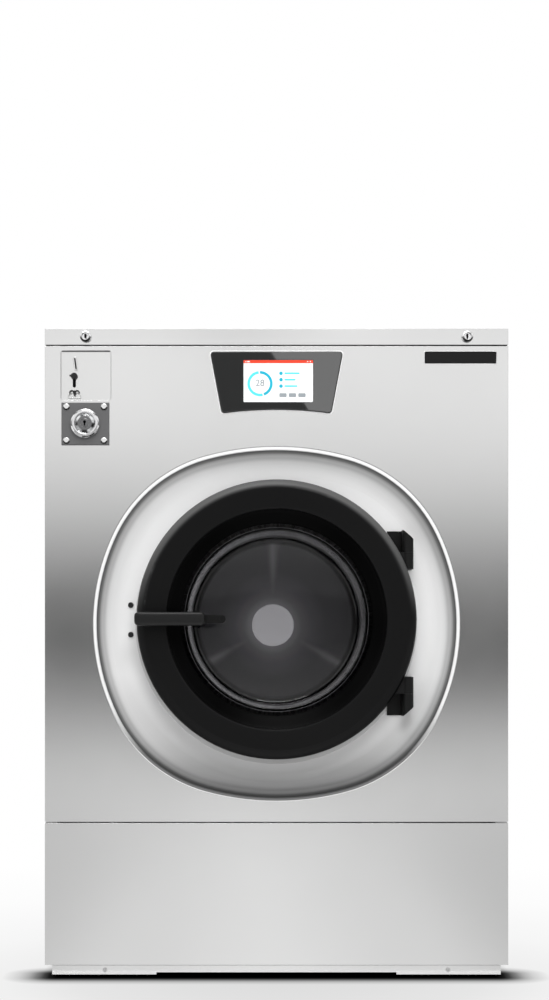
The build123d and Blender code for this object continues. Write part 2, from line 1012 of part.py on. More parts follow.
def side_panel(s):
    """A side sheet with folded edges; s is -1 for the left and 1 for the right."""
    y0, y1 = depth(return_flange), back_y - sheet
    z0, z1 = lower_panel_bottom, front_panel_top
    outer = block(s * half_width, s * (half_width - return_flange), y0, y1, z0, z1)
    inner = block(
        s * (half_width - sheet),
        s * (half_width - return_flange - cut_over),
        y0 + sheet,
        y1 - sheet,
        z0 - cut_over,
        z1 + cut_over,
    )
    z_low, z_high = access_extent()
    opening = block(
        s * (half_width + cut_over),
        s * (half_width - sheet - cut_over),
        -access_length / 2 + access_opening_margin,
        access_length / 2 - access_opening_margin,
        z_low + access_opening_margin,
        z_high - access_opening_margin,
    )
    floor = block(s * half_width, s * (half_width - sill_inset), y0, y1, z0, z0 + sheet)
    for x, z in rear_screw_places():
        if x * s > half_width / 2:
            outer = outer - rod_y(x, z, screw_hole_radius, back_y - cut_over, back_y + cut_over)
    rest_x = half_width - sheet - seat_gap
    rest = block(
        s * rest_x,
        s * (rest_x - sheet),
        y0 + cover_rest_setback,
        y1 - cover_rest_setback,
        z1 - return_flange,
        cabinet_height - sheet,
    )
    step = block(
        s * half_width,
        s * (rest_x - sheet),
        y0 + cover_rest_setback,
        y1 - cover_rest_setback,
        z1 - return_flange,
        z1 - return_flange + sheet,
    )
    return outer - inner - opening + floor + step + rest


def access_extent():
    return lower_panel_bottom, lower_panel_bottom + access_height


def access_panels():
    """The two low service covers on the sides, with a row of cooling slots each."""
    z0, z1 = access_extent()
    panels = []
    for s in (-1, 1):
        x0, x1 = s * half_width, s * (half_width + access_proud)
        panel = block(x0, x1, -access_length / 2, access_length / 2, z0, z1)
        rows, columns = 3, 8
        for i in range(columns):
            for k in range(rows):
                y = (i - (columns - 1) / 2) * access_length / (columns + 2)
                z = (z0 + z1) / 2 + (k - (rows - 1) / 2) * access_margin
                long = access_length / (columns + 2) - access_margin
                tall = access_margin / 3
                cut = block(
                    s * (half_width - cut_over),
                    s * (half_width + access_proud + cut_over),
                    y - long / 2,
                    y + long / 2,
                    z - tall / 2,
                    z + tall / 2,
                )
                panel = panel - cut
        panels.append(panel.solid())
    return Compound(children=panels)


def rear_panel():
    z0, z1 = lower_panel_bottom, front_panel_top
    body = block(-half_width, half_width, back_y - sheet, back_y, z0, z1)
    for x, z in rear_screw_places():
        body = body - rod_y(x, z, screw_hole_radius, back_y - cut_over, back_y + cut_over)
    for s in (-1, 1):
        for i in range(louvre_count):
            x, z = s * louvre_x, louvre_base + i * louvre_pitch
            half = louvre_width / 2
            cut = block(
                x - half, x + half, back_y - cut_over, back_y + cut_over, z, z + louvre_height
            )
            hood = louvre_hood(x - half, x + half, z)
            body = body - cut + hood
    port = drain_radius + seat_gap
    body = body - rod_y(0, drain_height, port, back_y - cut_over, back_y + cut_over)
    for s in (-1, 1):
        x = -inlet_x + s * inlet_spacing / 2
        port = inlet_body_radius + seat_gap
        body = body - rod_y(x, inlet_height, port, back_y - cut_over, back_y + cut_over)
    return body


def louvre_hood(x0, x1, z):
    """A pressed hood that covers one louvre slot, open towards the floor."""
    points = [
        (back_y - sheet, z + louvre_height + sheet),
        (back_y, z + louvre_height + sheet),
        (back_y + louvre_height, z),
        (back_y + louvre_height - sheet, z),
        (back_y - sheet, z + louvre_height),
    ]
    face = make_face(Polyline(*points, close=True))
    return extrude(Plane.YZ.offset(x0) * face, x1 - x0)


def tub_shell():
    return tube_y(
        0, axis_height, tub_outer_radius, tub_radius, depth(tub_front_depth), depth(tub_back_depth)
    ) + tub_back() - rod_z(0, depth(sump_depth), sump_radius - sump_wall, 0, axis_height)


def tub_front():
    """The tub's front plate with the collar that carries the gasket."""
    y0, y1 = depth(tub_front_depth - tub_wall), depth(tub_front_depth)
    rim = tub_outer_radius + rail_wall
    flange = tube_y(0, axis_height, rim, tub_radius, y0, y1 + rail_wall)
    flange = flange - rod_y(0, axis_height, tub_outer_radius, y1, y1 + 2 * rail_wall)
    plate = rod_y(0, axis_height, rim, y0, y1)
    collar = rod_y(0, axis_height, tub_collar_radius + tub_collar_wall, depth(tub_collar_front), y1)
    bore = rod_y(0, axis_height, tub_collar_radius, depth(tub_collar_front - cut_over), y1 + cut_over)
    return plate + collar + flange - bore


def tub_back():
    """The tub's back plate, welded to its shell."""
    return tube_y(
        0,
        axis_height,
        tub_outer_radius,
        tub_hub_hole_radius,
        depth(tub_back_depth),
        depth(tub_back_depth + tub_plate),
    )


def door_gasket():
    """A rubber ring that grips the tub's collar and ends just behind the door."""
    face_y = ring_retainer_back() + run_gap
    back = depth(gasket_back_depth)
    collar_front = depth(tub_collar_front)
    inner, outer = tub_collar_radius, tub_collar_radius + tub_collar_wall
    points = [
        (gasket_inner_radius, face_y),
        (gasket_outer_radius, face_y),
        (gasket_outer_radius, face_y + gasket_lip_thickness),
        (gasket_outer_radius - gasket_fold, face_y + gasket_lip_thickness + gasket_fold),
        (gasket_outer_radius, collar_front - gasket_fold),
        (gasket_outer_radius, back),
        (outer, back),
        (outer, collar_front),
        (inner, collar_front),
        (inner, back),
        (gasket_inner_radius + gasket_fold, back),
        (gasket_inner_radius, collar_front),
    ]
    return spun_points(points, 0, axis_height)


def ring_retainer_back():
    """Y of the rear face of the plate that holds the glass."""
    return depth(glass_seat_depth + glass_thickness + retainer_thickness)


def door_ring():
    """The moulded door ring: a shouldered rim, an inner funnel and a seat for the glass."""
    sag_y = ring_face_y + ring_face_sag
    funnel_y = sag_y + funnel_front
    seat_y = depth(glass_seat_depth)
    shoulder_r = ring_radius - ring_shoulder
    diagonal = ring_shoulder * cos(radians(45))
    seat_r = retainer_radius + seat_gap
    outline = [
        Line((ring_inner_radius + ring_lip, sag_y), (shoulder_r, ring_face_y)),
        ThreePointArc(
            (shoulder_r, ring_face_y),
            (shoulder_r + diagonal, ring_face_y + ring_shoulder - diagonal),
            (ring_radius, ring_face_y + ring_shoulder),
        ),
        Line((ring_radius, ring_face_y + ring_shoulder), (ring_radius, ring_back_y)),
        Line((ring_radius, ring_back_y), (seat_r + ring_rear_lead, ring_back_y)),
        Line((seat_r + ring_rear_lead, ring_back_y), (seat_r, ring_retainer_back())),
        Line((seat_r, ring_retainer_back()), (seat_r, seat_y + glass_thickness)),
        Line((seat_r, seat_y + glass_thickness), (glass_seat_radius, seat_y + glass_thickness)),
        Line((glass_seat_radius, seat_y + glass_thickness), (glass_seat_radius, seat_y)),
        Line((glass_seat_radius, seat_y), (ring_throat_radius, seat_y)),
        Line((ring_throat_radius, seat_y), (ring_throat_radius, seat_y - ring_lip)),
        Line((ring_throat_radius, seat_y - ring_lip), (ring_inner_radius, funnel_y)),
        Line((ring_inner_radius, funnel_y), (ring_inner_radius, sag_y + ring_lip)),
        ThreePointArc(
            (ring_inner_radius, sag_y + ring_lip),
            (
                ring_inner_radius + ring_lip - ring_lip * cos(radians(45)),
                sag_y + ring_lip - ring_lip * sin(radians(45)),
            ),
            (ring_inner_radius + ring_lip, sag_y),
        ),
    ]
    body = spun(outline, 0, axis_height)
    body = body + handle_ears()
    slot = block(
        -handle_pivot_x - hook_slot_left,
        -handle_pivot_x + hook_slot_right,
        ring_face_y - cut_over,
        ring_back_y + cut_over,
        axis_height - lever_height / 2 - run_gap,
        axis_height + lever_height / 2 + run_gap,
    )
    body = body - slot
    pin = handle_pin_extent()
    body = body - rod_z(-handle_pivot_x, handle_pivot_y(), handle_pin_radius, pin[0], pin[1])
    return Compound(children=[body.solid(), handle_pin().solid()])


def handle_pivot_y():
    return ring_face_y - handle_pivot_lift


def handle_pin_extent():
    half = lever_height / 2 + run_gap + handle_ear_thickness
    return axis_height - half, axis_height + half


def handle_ears():
    """Two ears on the ring's face that carry the handle's pin."""
    ears = []
    low = lever_height / 2 + run_gap
    for s in (-1, 1):
        z0, z1 = axis_height + s * low, axis_height + s * (low + handle_ear_thickness)
        x0 = -handle_pivot_x - handle_ear_width / 2
        x1 = -handle_pivot_x + handle_ear_width / 2
        foot = block(x0, x1, handle_pivot_y(), ring_face_y + ring_shoulder, z0, z1)
        head = rod_z(-handle_pivot_x, handle_pivot_y(), handle_ear_width / 2, z0, z1)
        ears.append(foot + head)
    return ears[0] + ears[1]


def door_retainer():
    """The steel ring that clamps the glass to the door ring, with its screws."""
    y0 = depth(glass_seat_depth + glass_thickness)
    body = tube_y(0, axis_height, retainer_radius, retainer_inner_radius, y0, ring_retainer_back())
    circle = (retainer_radius + glass_seat_radius) / 2
    for a in ring_of(retainer_screw_count, start=retainer_screw_turn):
        x = circle * cos(radians(a))
        z = axis_height + circle * sin(radians(a))
        body = body - rod_y(x, z, retainer_screw_radius, y0 - cut_over, y0 + retainer_screw_height)
    relief = block(
        -retainer_radius - cut_over,
        -handle_pivot_x + hook_slot_right,
        y0 - cut_over,
        ring_back_y,
        axis_height - hook_slot_height / 2,
        axis_height + hook_slot_height / 2,
    )
    return body - relief


def door_glass():
    """The bowl-shaped door glass with its clamped rim."""
    seat = depth(glass_seat_depth)
    rim = glass_seat_radius - run_gap
    floor_y = seat + glass_depth
    crown_y = floor_y + glass_floor_crown
    t = glass_thickness
    outer = retainer_inner_radius - run_gap
    points_out = [
        (0, crown_y),
        (glass_floor_radius, floor_y),
        (outer, seat + t),
        (rim, seat + t),
        (rim, seat),
        (outer - t, seat),
        (glass_floor_radius - t, floor_y - t),
        (0, crown_y - t),
    ]
    face = make_face(Polyline(*points_out, close=True))
    corners = [v for v in face.vertices() if abs(v.Y - floor_y) < 2 * t and v.X > glass_floor_radius / 2]
    outer_corner = [v for v in corners if abs(v.Y - floor_y) < t / 2]
    face = fillet(outer_corner, glass_floor_fillet)
    inner_corner = [
        v
        for v in face.vertices()
        if abs(v.Y - floor_y + t) < t / 2 and abs(v.X - glass_floor_radius + t) < t / 2
    ]
    face = fillet(inner_corner, glass_floor_fillet - t)
    return Pos(0, 0, axis_height) * revolve(face, Axis.Y, 360)


def hinge_sides():
    """The two hinges: which way from the axis, and where their knuckles start and end."""
    upper = (1, hinge_knuckle_inner, hinge_knuckle_split, hinge_knuckle_outer)
    lower = (
        -1,
        hinge_knuckle_inner + hinge_drop,
        hinge_knuckle_split + hinge_drop,
        hinge_knuckle_outer + hinge_drop,
    )
    return [upper, lower]


def hinge_axis_y():
    return depth(hinge_y)


def knuckle(z0, z1):
    return rod_z(hinge_x, hinge_axis_y(), hinge_knuckle_radius, z0, z1)


def hinge_brackets():
    """The fixed halves of the two door hinges, on the surround's floor, with their pins."""
    solids = []
    for s, inner, split, outer in hinge_sides():
        z0, z1 = axis_height + s * (split + run_gap), axis_height + s * outer
        x0, x1 = hinge_x - hinge_bracket_reach, hinge_x + hinge_knuckle_radius
        ear = block(hinge_x - hinge_knuckle_radius, x1, hinge_axis_y(), floor_y, z0, z1)
        base_inner = axis_height + s * inner
        base = block(x0, x1, floor_y - hinge_bracket_plate, floor_y, base_inner, z1)
        pin = hinge_pin(s, split, outer, hinge_pin_radius)
        corner = Polyline(
            (x1 - hinge_corner_width, z1),
            (x1 - hinge_corner_width, z1 + s * cut_over),
            (x1 + cut_over, z1 + s * cut_over),
            (x1 + cut_over, z1 - s * hinge_corner_drop),
            (x1, z1 - s * hinge_corner_drop),
            close=True,
        )
        corner_cut = slab(make_face(corner), hinge_axis_y() - 2 * hinge_knuckle_radius, floor_y)
        body = ear + base + knuckle(z0, z1) - pin - corner_cut
        solids.append(body.solid())
        solids.append(pin.solid())
    return Compound(children=solids)


def hinge_pin(s, split, outer, radius):
    """A hinge pin from inside the moving knuckle to near the fixed knuckle's end."""
    inner_end = hinge_knuckle_inner if s > 0 else hinge_knuckle_inner + hinge_drop
    z0 = axis_height + s * (inner_end + hinge_pin_start)
    z1 = axis_height + s * (outer - hinge_corner_drop - hinge_bracket_plate)
    return rod_z(hinge_x, hinge_axis_y(), radius, z0, z1)


def hinge_arm(s, inner, split):
    """The moving half of a hinge, from the ring's rim to its knuckle."""
    z0, z1 = axis_height + s * inner, axis_height + s * split
    rim_x = sqrt(ring_radius**2 - split**2)
    y0 = hinge_axis_y() - hinge_arm_thickness / 2
    y1 = hinge_axis_y() + hinge_arm_thickness / 2
    arm = block(rim_x - hinge_arm_reach / 2, hinge_x, y0, y1, z0, z1)
    return arm + knuckle(z0, z1)


def door_hinge_arms():
    solids = []
    for s, inner, split, outer in hinge_sides():
        body = hinge_arm(s, inner, split)
        body = body - rod_y(
            0, axis_height, ring_radius, depth(-ring_front), depth(ring_back)
        )
        body = body - rod_z(
            hinge_x,
            hinge_axis_y(),
            hinge_pin_radius + pin_gap,
            axis_height + s * (inner + hinge_pin_start - run_gap),
            axis_height + s * outer,
        )
        solids.append(max(body.solids(), key=lambda p: p.volume))
    return Compound(children=solids)


def lever_extent():
    """Y of the front and back of the handle's lever."""
    centre = handle_pivot_y()
    return centre - lever_thickness / 2, centre + lever_thickness / 2


def door_handle():
    """The grip moulded over the front of the lever."""
    y_front, y_back = lever_extent()
    x0 = -ring_radius
    centre_x = x0 + grip_length / 2
    grip = rounded_plate(
        centre_x, axis_height, grip_length, grip_height, grip_round, y_front - grip_thickness, y_front
    )
    return fillet(grip.edges().group_by(Axis.Y)[0], grip_edge)


def latch_lever():
    """The lever behind the grip, its pivot boss and the hook that enters the door lock."""
    y_front, y_back = lever_extent()
    x0 = -handle_pivot_x - handle_boss_radius
    x1 = x0 + lever_length
    z0, z1 = axis_height - lever_height / 2, axis_height + lever_height / 2
    arm = block(x0, x1 - lever_height / 2, y_front, y_back, z0, z1)
    tip = rod_y(x1 - lever_height / 2, axis_height, lever_height / 2, y_front, y_back)
    well = rod_y(
        x1 - lever_height / 2,
        axis_height,
        lever_height / 4,
        y_front - cut_over,
        y_front + lever_tip_recess,
    )
    hook_z = hook_plate / 2
    px, py = -handle_pivot_x, handle_pivot_y()
    stem = block(
        px - hook_width / 2,
        px + hook_width / 2,
        py,
        py + hook_length,
        axis_height - hook_z,
        axis_height + hook_z,
    )
    barb_points = [
        (px - hook_width / 2, py + hook_length - hook_barb_length),
        (px - hook_width / 2 - hook_barb, py + hook_length - hook_barb_length),
        (px, py + hook_length + hook_barb_length / 2),
        (px, py + hook_length - hook_barb_length),
    ]
    barb = make_face(Polyline(*barb_points, close=True))
    barb = extrude(Pos(0, 0, axis_height - hook_z) * barb, 2 * hook_z)
    body = arm + tip - well + stem + barb
    bore = rod_z(px, py, handle_pin_radius + pin_gap, z0 - cut_over, z1 + cut_over)
    return body - bore


def handle_pin():
    z0, z1 = handle_pin_extent()
    return rod_z(-handle_pivot_x, handle_pivot_y(), handle_pin_radius, z0, z1)


def door_lock():
    """The lock case behind the surround, open at the front for the hook, with its two screws."""
    x1 = -handle_pivot_x + hook_slot_right + lock_wall
    x0 = x1 - lock_case_width
    y0, y1 = depth(dish_depth + sheet), depth(dish_depth + sheet + lock_case_depth)
    z0, z1 = axis_height - lock_case_height / 2, axis_height + lock_case_height / 2
    case = block(x0, x1, y0, y1, z0, z1)
    half = hook_slot_height / 2
    mouth = block(
        -handle_pivot_x - hook_slot_left - hook_barb,
        -handle_pivot_x + hook_slot_right,
        y0 - cut_over,
        y1 - lock_wall,
        axis_height - half,
        axis_height + half,
    )
    bolt = lock_bolt_space()
    channel = block(
        bolt[0] - run_gap,
        -handle_pivot_x,
        y0 - cut_over,
        bolt[3] + run_gap,
        bolt[4] - run_gap,
        bolt[5] + run_gap,
    )
    return case - mouth - channel


def lock_bolt_space():
    """The faces of the lock's bolt when it is drawn back."""
    x1 = -handle_pivot_x - hook_slot_left - lock_bolt_retreat
    y0 = depth(dish_depth + sheet + run_gap)
    half = lock_bolt_height / 2
    return x1 - lock_bolt_length, x1, y0, y0 + lock_bolt_thickness, axis_height - half, axis_height + half


def lock_bolt():
    """The bolt that slides in front of the hook's barb."""
    x0, x1, y0, y1, z0, z1 = lock_bolt_space()
    return block(x0, x1, y0, y1, z0, z1)


def lock_screws():
    """The two socket screws that hold the door lock, seen on the surround's floor."""
    screws = []
    for s in (-1, 1):
        z = axis_height + s * lock_screw_offset
        head = rod_y(-lock_screw_x, z, lock_screw_radius, floor_y - screw_head_height, floor_y)
        socket = rod_y(
            -lock_screw_x,
            z,
            screw_socket_radius,
            floor_y - screw_head_height - cut_over,
            floor_y - screw_head_height + screw_socket_depth,
        )
        screws.append((head - socket).solid())
    return screws


def drum_shell():
    return tube_y(
        0,
        axis_height,
        drum_radius,
        drum_radius - drum_wall,
        depth(drum_front_depth),
        depth(drum_back_depth),
    )


def drum_front():
    """The drum's front plate with a rolled lip round its mouth."""
    y0, y1 = depth(drum_front_depth - drum_plate), depth(drum_front_depth)
    plate = tube_y(0, axis_height, drum_radius, drum_mouth_radius, y0, y1)
    lip_circle = Pos(drum_mouth_radius + drum_lip_radius, y0) * Circle(drum_lip_radius)
    lip = Pos(0, 0, axis_height) * revolve(lip_circle, Axis.Y, 360)
    return plate + lip


def drum_back():
    """The drum's plain back plate."""
    y0, y1 = depth(drum_back_depth), depth(drum_back_depth + drum_plate)
    return rod_y(0, axis_height, drum_radius, y0, y1)


def lifters():
    """Three hollow sheet-metal lifters along the inside of the drum, one at the top."""
    y0, y1 = depth(drum_front_depth + lifter_end_gap), depth(drum_back_depth - lifter_end_gap)
    inside = drum_radius - drum_wall
    seat = sqrt(inside**2 - (lifter_base_width / 2) ** 2)
    tip = inside - lifter_height

    def section(trim):
        half_base = lifter_base_width / 2 - trim
        half_top = lifter_top_width / 2 - trim
        points = [
            (-half_base, seat),
            (-half_top, tip + trim),
            (half_top, tip + trim),
            (half_base, seat),
        ]
        face = make_face(Polyline(*points, close=True))
        ridge = face.vertices().group_by(Axis.Y)[0]
        return fillet(ridge, lifter_round - trim)

    outer = slab(section(0.0), y0, y1)
    inner = slab(section(lifter_wall), y0 + lifter_wall, y1 - lifter_wall)
    shell = Pos(0, 0, axis_height) * (outer - inner)
    placed = [around(0, axis_height, a) * shell for a in ring_of(3)]
    return Compound(children=[p.solid() for p in placed])


def drum_hub_cap():
    y0 = depth(drum_back_depth)
    cap = rod_y(0, axis_height, hub_cap_radius, y0 - hub_cap_height, y0)
    return fillet(cap.edges().group_by(Axis.Y)[0], hub_cap_round)


def drum_trunnion():
    """The three-armed spider behind the drum and the shaft that runs through the bearings."""
    y0 = depth(drum_back_depth + drum_plate)
    y1 = y0 + spider_thickness
    body = rod_y(0, axis_height, spider_boss_radius, y0, y1)
    for a in ring_of(3):
        arm = block(
            -spider_arm_width / 2,
            spider_arm_width / 2,
            y0,
            y1,
            axis_height,
            axis_height + spider_arm_radius,
        )
        body = body + around(0, axis_height, a) * arm
    shaft = rod_y(0, axis_height, shaft_radius, y1 - cut_over, depth(shaft_end_depth))
    tail = shaft.edges().group_by(Axis.Y)[-1]
    return body + chamfer(tail, bearing_bevel)


def bearing_places():
    """Front and rear depth of each main bearing."""
    front = tub_back_depth + tub_plate + shaft_seal_width
    return [(front, front + bearing_width), (housing_end_depth - bearing_width, housing_end_depth)]


def bearings_and_seal():
    """The two main bearings and the water seal in front of them."""
    seal_front = depth(tub_back_depth + tub_plate)
    seal = tube_y(
        0,
        axis_height,
        bearing_outer_radius,
        shaft_radius + pin_gap,
        seal_front,
        seal_front + shaft_seal_width,
    )
    lip = seal.edges().filter_by(GeomType.CIRCLE).group_by(SortBy.RADIUS)[0].sort_by(Axis.Y)
    rings = [chamfer(lip[0], shaft_seal_bevel).solid()]
    for d0, d1 in bearing_places():
        ring = tube_y(
            0, axis_height, bearing_outer_radius, shaft_radius + pin_gap, depth(d0), depth(d1)
        )
        rims = ring.edges().filter_by(GeomType.CIRCLE).group_by(SortBy.RADIUS)[-1]
        rings.append(chamfer(rims, bearing_bevel).solid())
    return Compound(children=rings)


def bearing_housing():
    y0 = depth(tub_back_depth + tub_plate)
    body = rod_y(0, axis_height, housing_radius, y0, depth(housing_end_depth))
    body = body + rod_y(0, axis_height, housing_flange_radius, y0, y0 + housing_flange)
    y_rib = y0 + housing_flange + bearing_frame_plate
    body = body - rod_y(
        0, axis_height, bearing_outer_radius, y0 - cut_over, depth(housing_end_depth) + cut_over
    )
    shoulder = tube_y(
        0,
        axis_height,
        bearing_outer_radius,
        shaft_radius + bearing_bevel,
        depth(bearing_places()[0][1]),
        depth(bearing_places()[1][0]),
    )
    body = body + shoulder
    for a in ring_of(housing_rib_count, start=housing_rib_turn):
        points = [
            (housing_radius - rail_wall, y_rib),
            (housing_radius + housing_rib_fall, y_rib),
            (housing_radius - rail_wall, depth(housing_end_depth) - rail_wall),
        ]
        face = make_face(Polyline(*points, close=True))
        rib = extrude(face, housing_rib_thickness / 2, both=True)
        body = body + around(0, axis_height, a) * Pos(0, 0, axis_height) * rib
    return body


def grooves(radius, start):
    """Rings to cut from a pulley so that it has V grooves."""
    rings = []
    for i in range(belt_count):
        mid = depth(start + pulley_width / 2 + (i - (belt_count - 1) / 2) * belt_pitch)
        points = [
            (radius + cut_over, mid - groove_top / 2),
            (radius, mid - groove_top / 2),
            (radius - groove_depth, mid - groove_bottom / 2),
            (radius - groove_depth, mid + groove_bottom / 2),
            (radius, mid + groove_top / 2),
            (radius + cut_over, mid + groove_top / 2),
        ]
        rings.append(points)
    return rings


def drum_pulley():
    y0, y1 = depth(pulley_start), depth(pulley_start + pulley_width)
    mid = (y0 + y1) / 2
    rim = tube_y(0, axis_height, pulley_radius, pulley_radius - pulley_rim, y0, y1)
    web = rod_y(0, axis_height, pulley_radius - pulley_rim / 2, mid - pulley_web / 2, mid + pulley_web / 2)
    hub = rod_y(0, axis_height, pulley_hub_radius, y0, y1)
    body = rim + web + hub
    for points in grooves(pulley_radius, pulley_start):
        body = body - spun_points(points, 0, axis_height)
    circle = (pulley_radius - pulley_rim + pulley_hub_radius) / 2
    for a in ring_of(pulley_hole_count):
        hole = rod_y(0, axis_height + circle, pulley_hole_radius, y0 - cut_over, y1 + cut_over)
        body = body - around(0, axis_height, a) * hole
    return body - rod_y(0, axis_height, shaft_radius, y0 - cut_over, y1 + cut_over)


def motor_pulley():
    """The motor's shaft end with the small grooved pulley on it."""
    y0, y1 = depth(pulley_start), depth(pulley_start + pulley_width)
    body = rod_y(motor_x, motor_height, motor_pulley_radius, y0, y1)
    for points in grooves(motor_pulley_radius, pulley_start):
        body = body - spun_points(points, motor_x, motor_height)
    shaft_start = depth(motor_start + motor_length - motor_bell_length)
    return body + rod_y(motor_x, motor_height, motor_shaft_radius, shaft_start, y0 + cut_over)


def belt_loop(inner_drop):
    """The face between a belt's outside and its inside, as a ring round both pulleys."""
    big, small = pulley_radius - inner_drop, motor_pulley_radius - inner_drop
    span = hypot(motor_x, motor_height - axis_height)
    lean = atan2(motor_height - axis_height, motor_x)
    spread = acos((big - small) / span)
    points = []
    for side in (1, -1):
        a = lean + side * spread
        near = (big * cos(a), axis_height + big * sin(a))
        far = (motor_x + small * cos(a), motor_height + small * sin(a))
        points.append((near, far))
    (n1, f1), (n2, f2) = points
    back = (-big * cos(lean), axis_height - big * sin(lean))
    tip = (motor_x + small * cos(lean), motor_height + small * sin(lean))
    edges = [
        Line(n1, f1),
        ThreePointArc(f1, tip, f2),
        Line(f2, n2),
        ThreePointArc(n2, back, n1),
    ]
    return make_face(edges)


def drive_belts():
    loop = belt_loop(groove_belt_sink) - belt_loop(groove_belt_sink + belt_thickness)
    belts = []
    for i in range(belt_count):
        mid = depth(pulley_start + pulley_width / 2 + (i - (belt_count - 1) / 2) * belt_pitch)
        belts.append(slab(loop, mid - belt_width / 2, mid + belt_width / 2).solid())
    return Compound(children=belts)


def motor():
    """A finned motor with end bells, feet and a terminal box."""
    y0, y1 = depth(motor_start), depth(motor_start + motor_length)
    core_y0, core_y1 = y0 + motor_bell_length, y1 - motor_bell_length
    core = rod_y(motor_x, motor_height, motor_radius, core_y0, core_y1)
    bells = rod_y(motor_x, motor_height, motor_radius * motor_bell_share, y0, y1)
    body = core + bells
    for a in ring_of(motor_fin_count):
        fin = block(
            motor_x - motor_fin_thickness / 2,
            motor_x + motor_fin_thickness / 2,
            core_y0 + motor_fin_thickness,
            core_y1 - motor_fin_thickness,
            motor_height,
            motor_height + motor_radius + motor_fin_height,
        )
        body = body + around(motor_x, motor_height, a) * fin
    foot_z = rail_height + motor_deck_thickness
    feet = block(
        motor_x - motor_foot_width / 2,
        motor_x + motor_foot_width / 2,
        core_y0,
        core_y1,
        foot_z,
        foot_z + motor_foot_height,
    )
    box_half = motor_box_width / 2
    box = block(
        motor_x - motor_radius - motor_box_height,
        motor_x,
        (y0 + y1) / 2 - box_half,
        (y0 + y1) / 2 + box_half,
        motor_height - motor_box_height / 2,
        motor_height + motor_box_height / 2,
    )
    shaft_hole = rod_y(
        motor_x,
        motor_height,
        motor_shaft_radius + pin_gap,
        depth(motor_start + motor_length - motor_bell_length) - pin_gap,
        y1 + cut_over,
    )
    return body + feet + box - shaft_hole


def sump_hose():
    """The rubber hose from the tub's lowest point down to the drain valve."""
    y = depth(sump_depth)
    top = axis_height - tub_radius
    z0 = valve_height + valve_radius - sump_wall
    hose = rod_z(0, y, sump_radius, z0, top)
    bands = rod_z(0, y, sump_radius + hose_band_proud, z0 + hose_band, z0 + 2 * hose_band)
    body = hose + bands - rod_z(0, y, sump_radius - sump_wall, z0 - cut_over, top + cut_over)
    body = body - rod_y(0, valve_height, valve_radius, y - valve_length, y + valve_length)
    return body - rod_y(0, axis_height, tub_outer_radius, y - valve_length, y + valve_length)


def drain_valve():
    y = depth(sump_depth)
    body = rod_y(0, valve_height, valve_radius, y - valve_length / 2, y + valve_length / 2)
    drive = block(
        -valve_radius - valve_motor_size,
        0,
        y - valve_motor_size / 2,
        y + valve_motor_size / 2,
        valve_height - valve_motor_size / 2,
        valve_height + valve_motor_size / 2,
    )
    inlet = rod_z(0, y, sump_radius - sump_wall, valve_height, valve_height + valve_radius + cut_over)
    bore = rod_y(0, valve_height, drain_run_radius - drain_wall, y, y + valve_length)
    seat = rod_y(
        0, valve_height, drain_run_radius, y + valve_length / 2 - drain_socket, y + valve_length
    )
    stand = block(
        -valve_radius / 2,
        valve_radius / 2,
        y - valve_length / 4,
        y + valve_length / 4,
        rail_height,
        valve_height - valve_radius / 2,
    )
    return body + drive + stand - inlet - bore - seat


def drain_pipe():
    """The pipe from the valve to the hose stub, with a flange on the rear panel."""
    y0 = depth(sump_depth) + valve_length / 2 - drain_socket
    bore = drain_run_radius - drain_wall
    run = tube_y(0, drain_height, drain_run_radius, bore, y0, back_y)
    flange = tube_y(0, drain_height, drain_flange_radius, bore, back_y, back_y + drain_flange)
    return run + flange + tube_y(0, drain_height, drain_radius, bore, back_y, back_y + drain_stub)


def inlet_valves():
    """Two solenoid valves on the rear panel, each with a threaded inlet."""
    valves = []
    for s in (-1, 1):
        x = -inlet_x + s * inlet_spacing / 2
        y0 = back_y - inlet_body_length
        body = rod_y(x, inlet_height, inlet_body_radius, y0, back_y + sheet)
        seat = back_y - sheet
        body = body + rod_y(x, inlet_height, inlet_flange_radius, seat - inlet_flange, seat)
        nose = rod_y(x, inlet_height, inlet_thread_radius, back_y, back_y + sheet + inlet_thread_length)
        bore_end = back_y + sheet + inlet_thread_length + cut_over
        bore = rod_y(x, inlet_height, inlet_bore_radius, back_y - inlet_spigot / 2, bore_end)
        half = inlet_coil_size / 2
        coil = block(x - half, x + half, y0, y0 + inlet_coil_size, inlet_height, inlet_height + 2 * half)
        spigot = rod_z(x, y0 + half, fill_radius * fill_bore_share, inlet_height - inlet_spigot, inlet_height)
        valves.append((body + nose + coil + spigot - bore).solid())
    return Compound(children=valves)


def fill_hoses():
    """Hoses to the top of the tub: two from the valves and one from the supply dispenser."""
    hoses = [supply_hose()]
    for s in (-1, 1):
        x = -inlet_x + s * inlet_spacing / 2
        y = back_y - inlet_body_length + inlet_coil_size / 2
        top = inlet_height - inlet_body_radius - seat_gap
        end_y = depth(tub_back_depth - fill_drop)
        tub_top = axis_height + sqrt(tub_outer_radius**2 - (abs(x) + fill_radius) ** 2)
        turn_z = top - fill_drop / 2
        path = FilletPolyline(
            (x, y, top), (x, y, turn_z), (x, end_y, turn_z), (x, end_y, tub_top), radius=fill_drop / 3
        )
        start = Location((x, y, top)) * Circle(fill_radius)
        bore = Location((x, y, top)) * Circle(fill_radius * fill_bore_share)
        hose = sweep(start, path) - sweep(bore, path)
        hose = hose - rod_y(0, axis_height, tub_outer_radius, depth(0), back_y)
        hoses.append(hose.solid())
    return Compound(children=hoses)


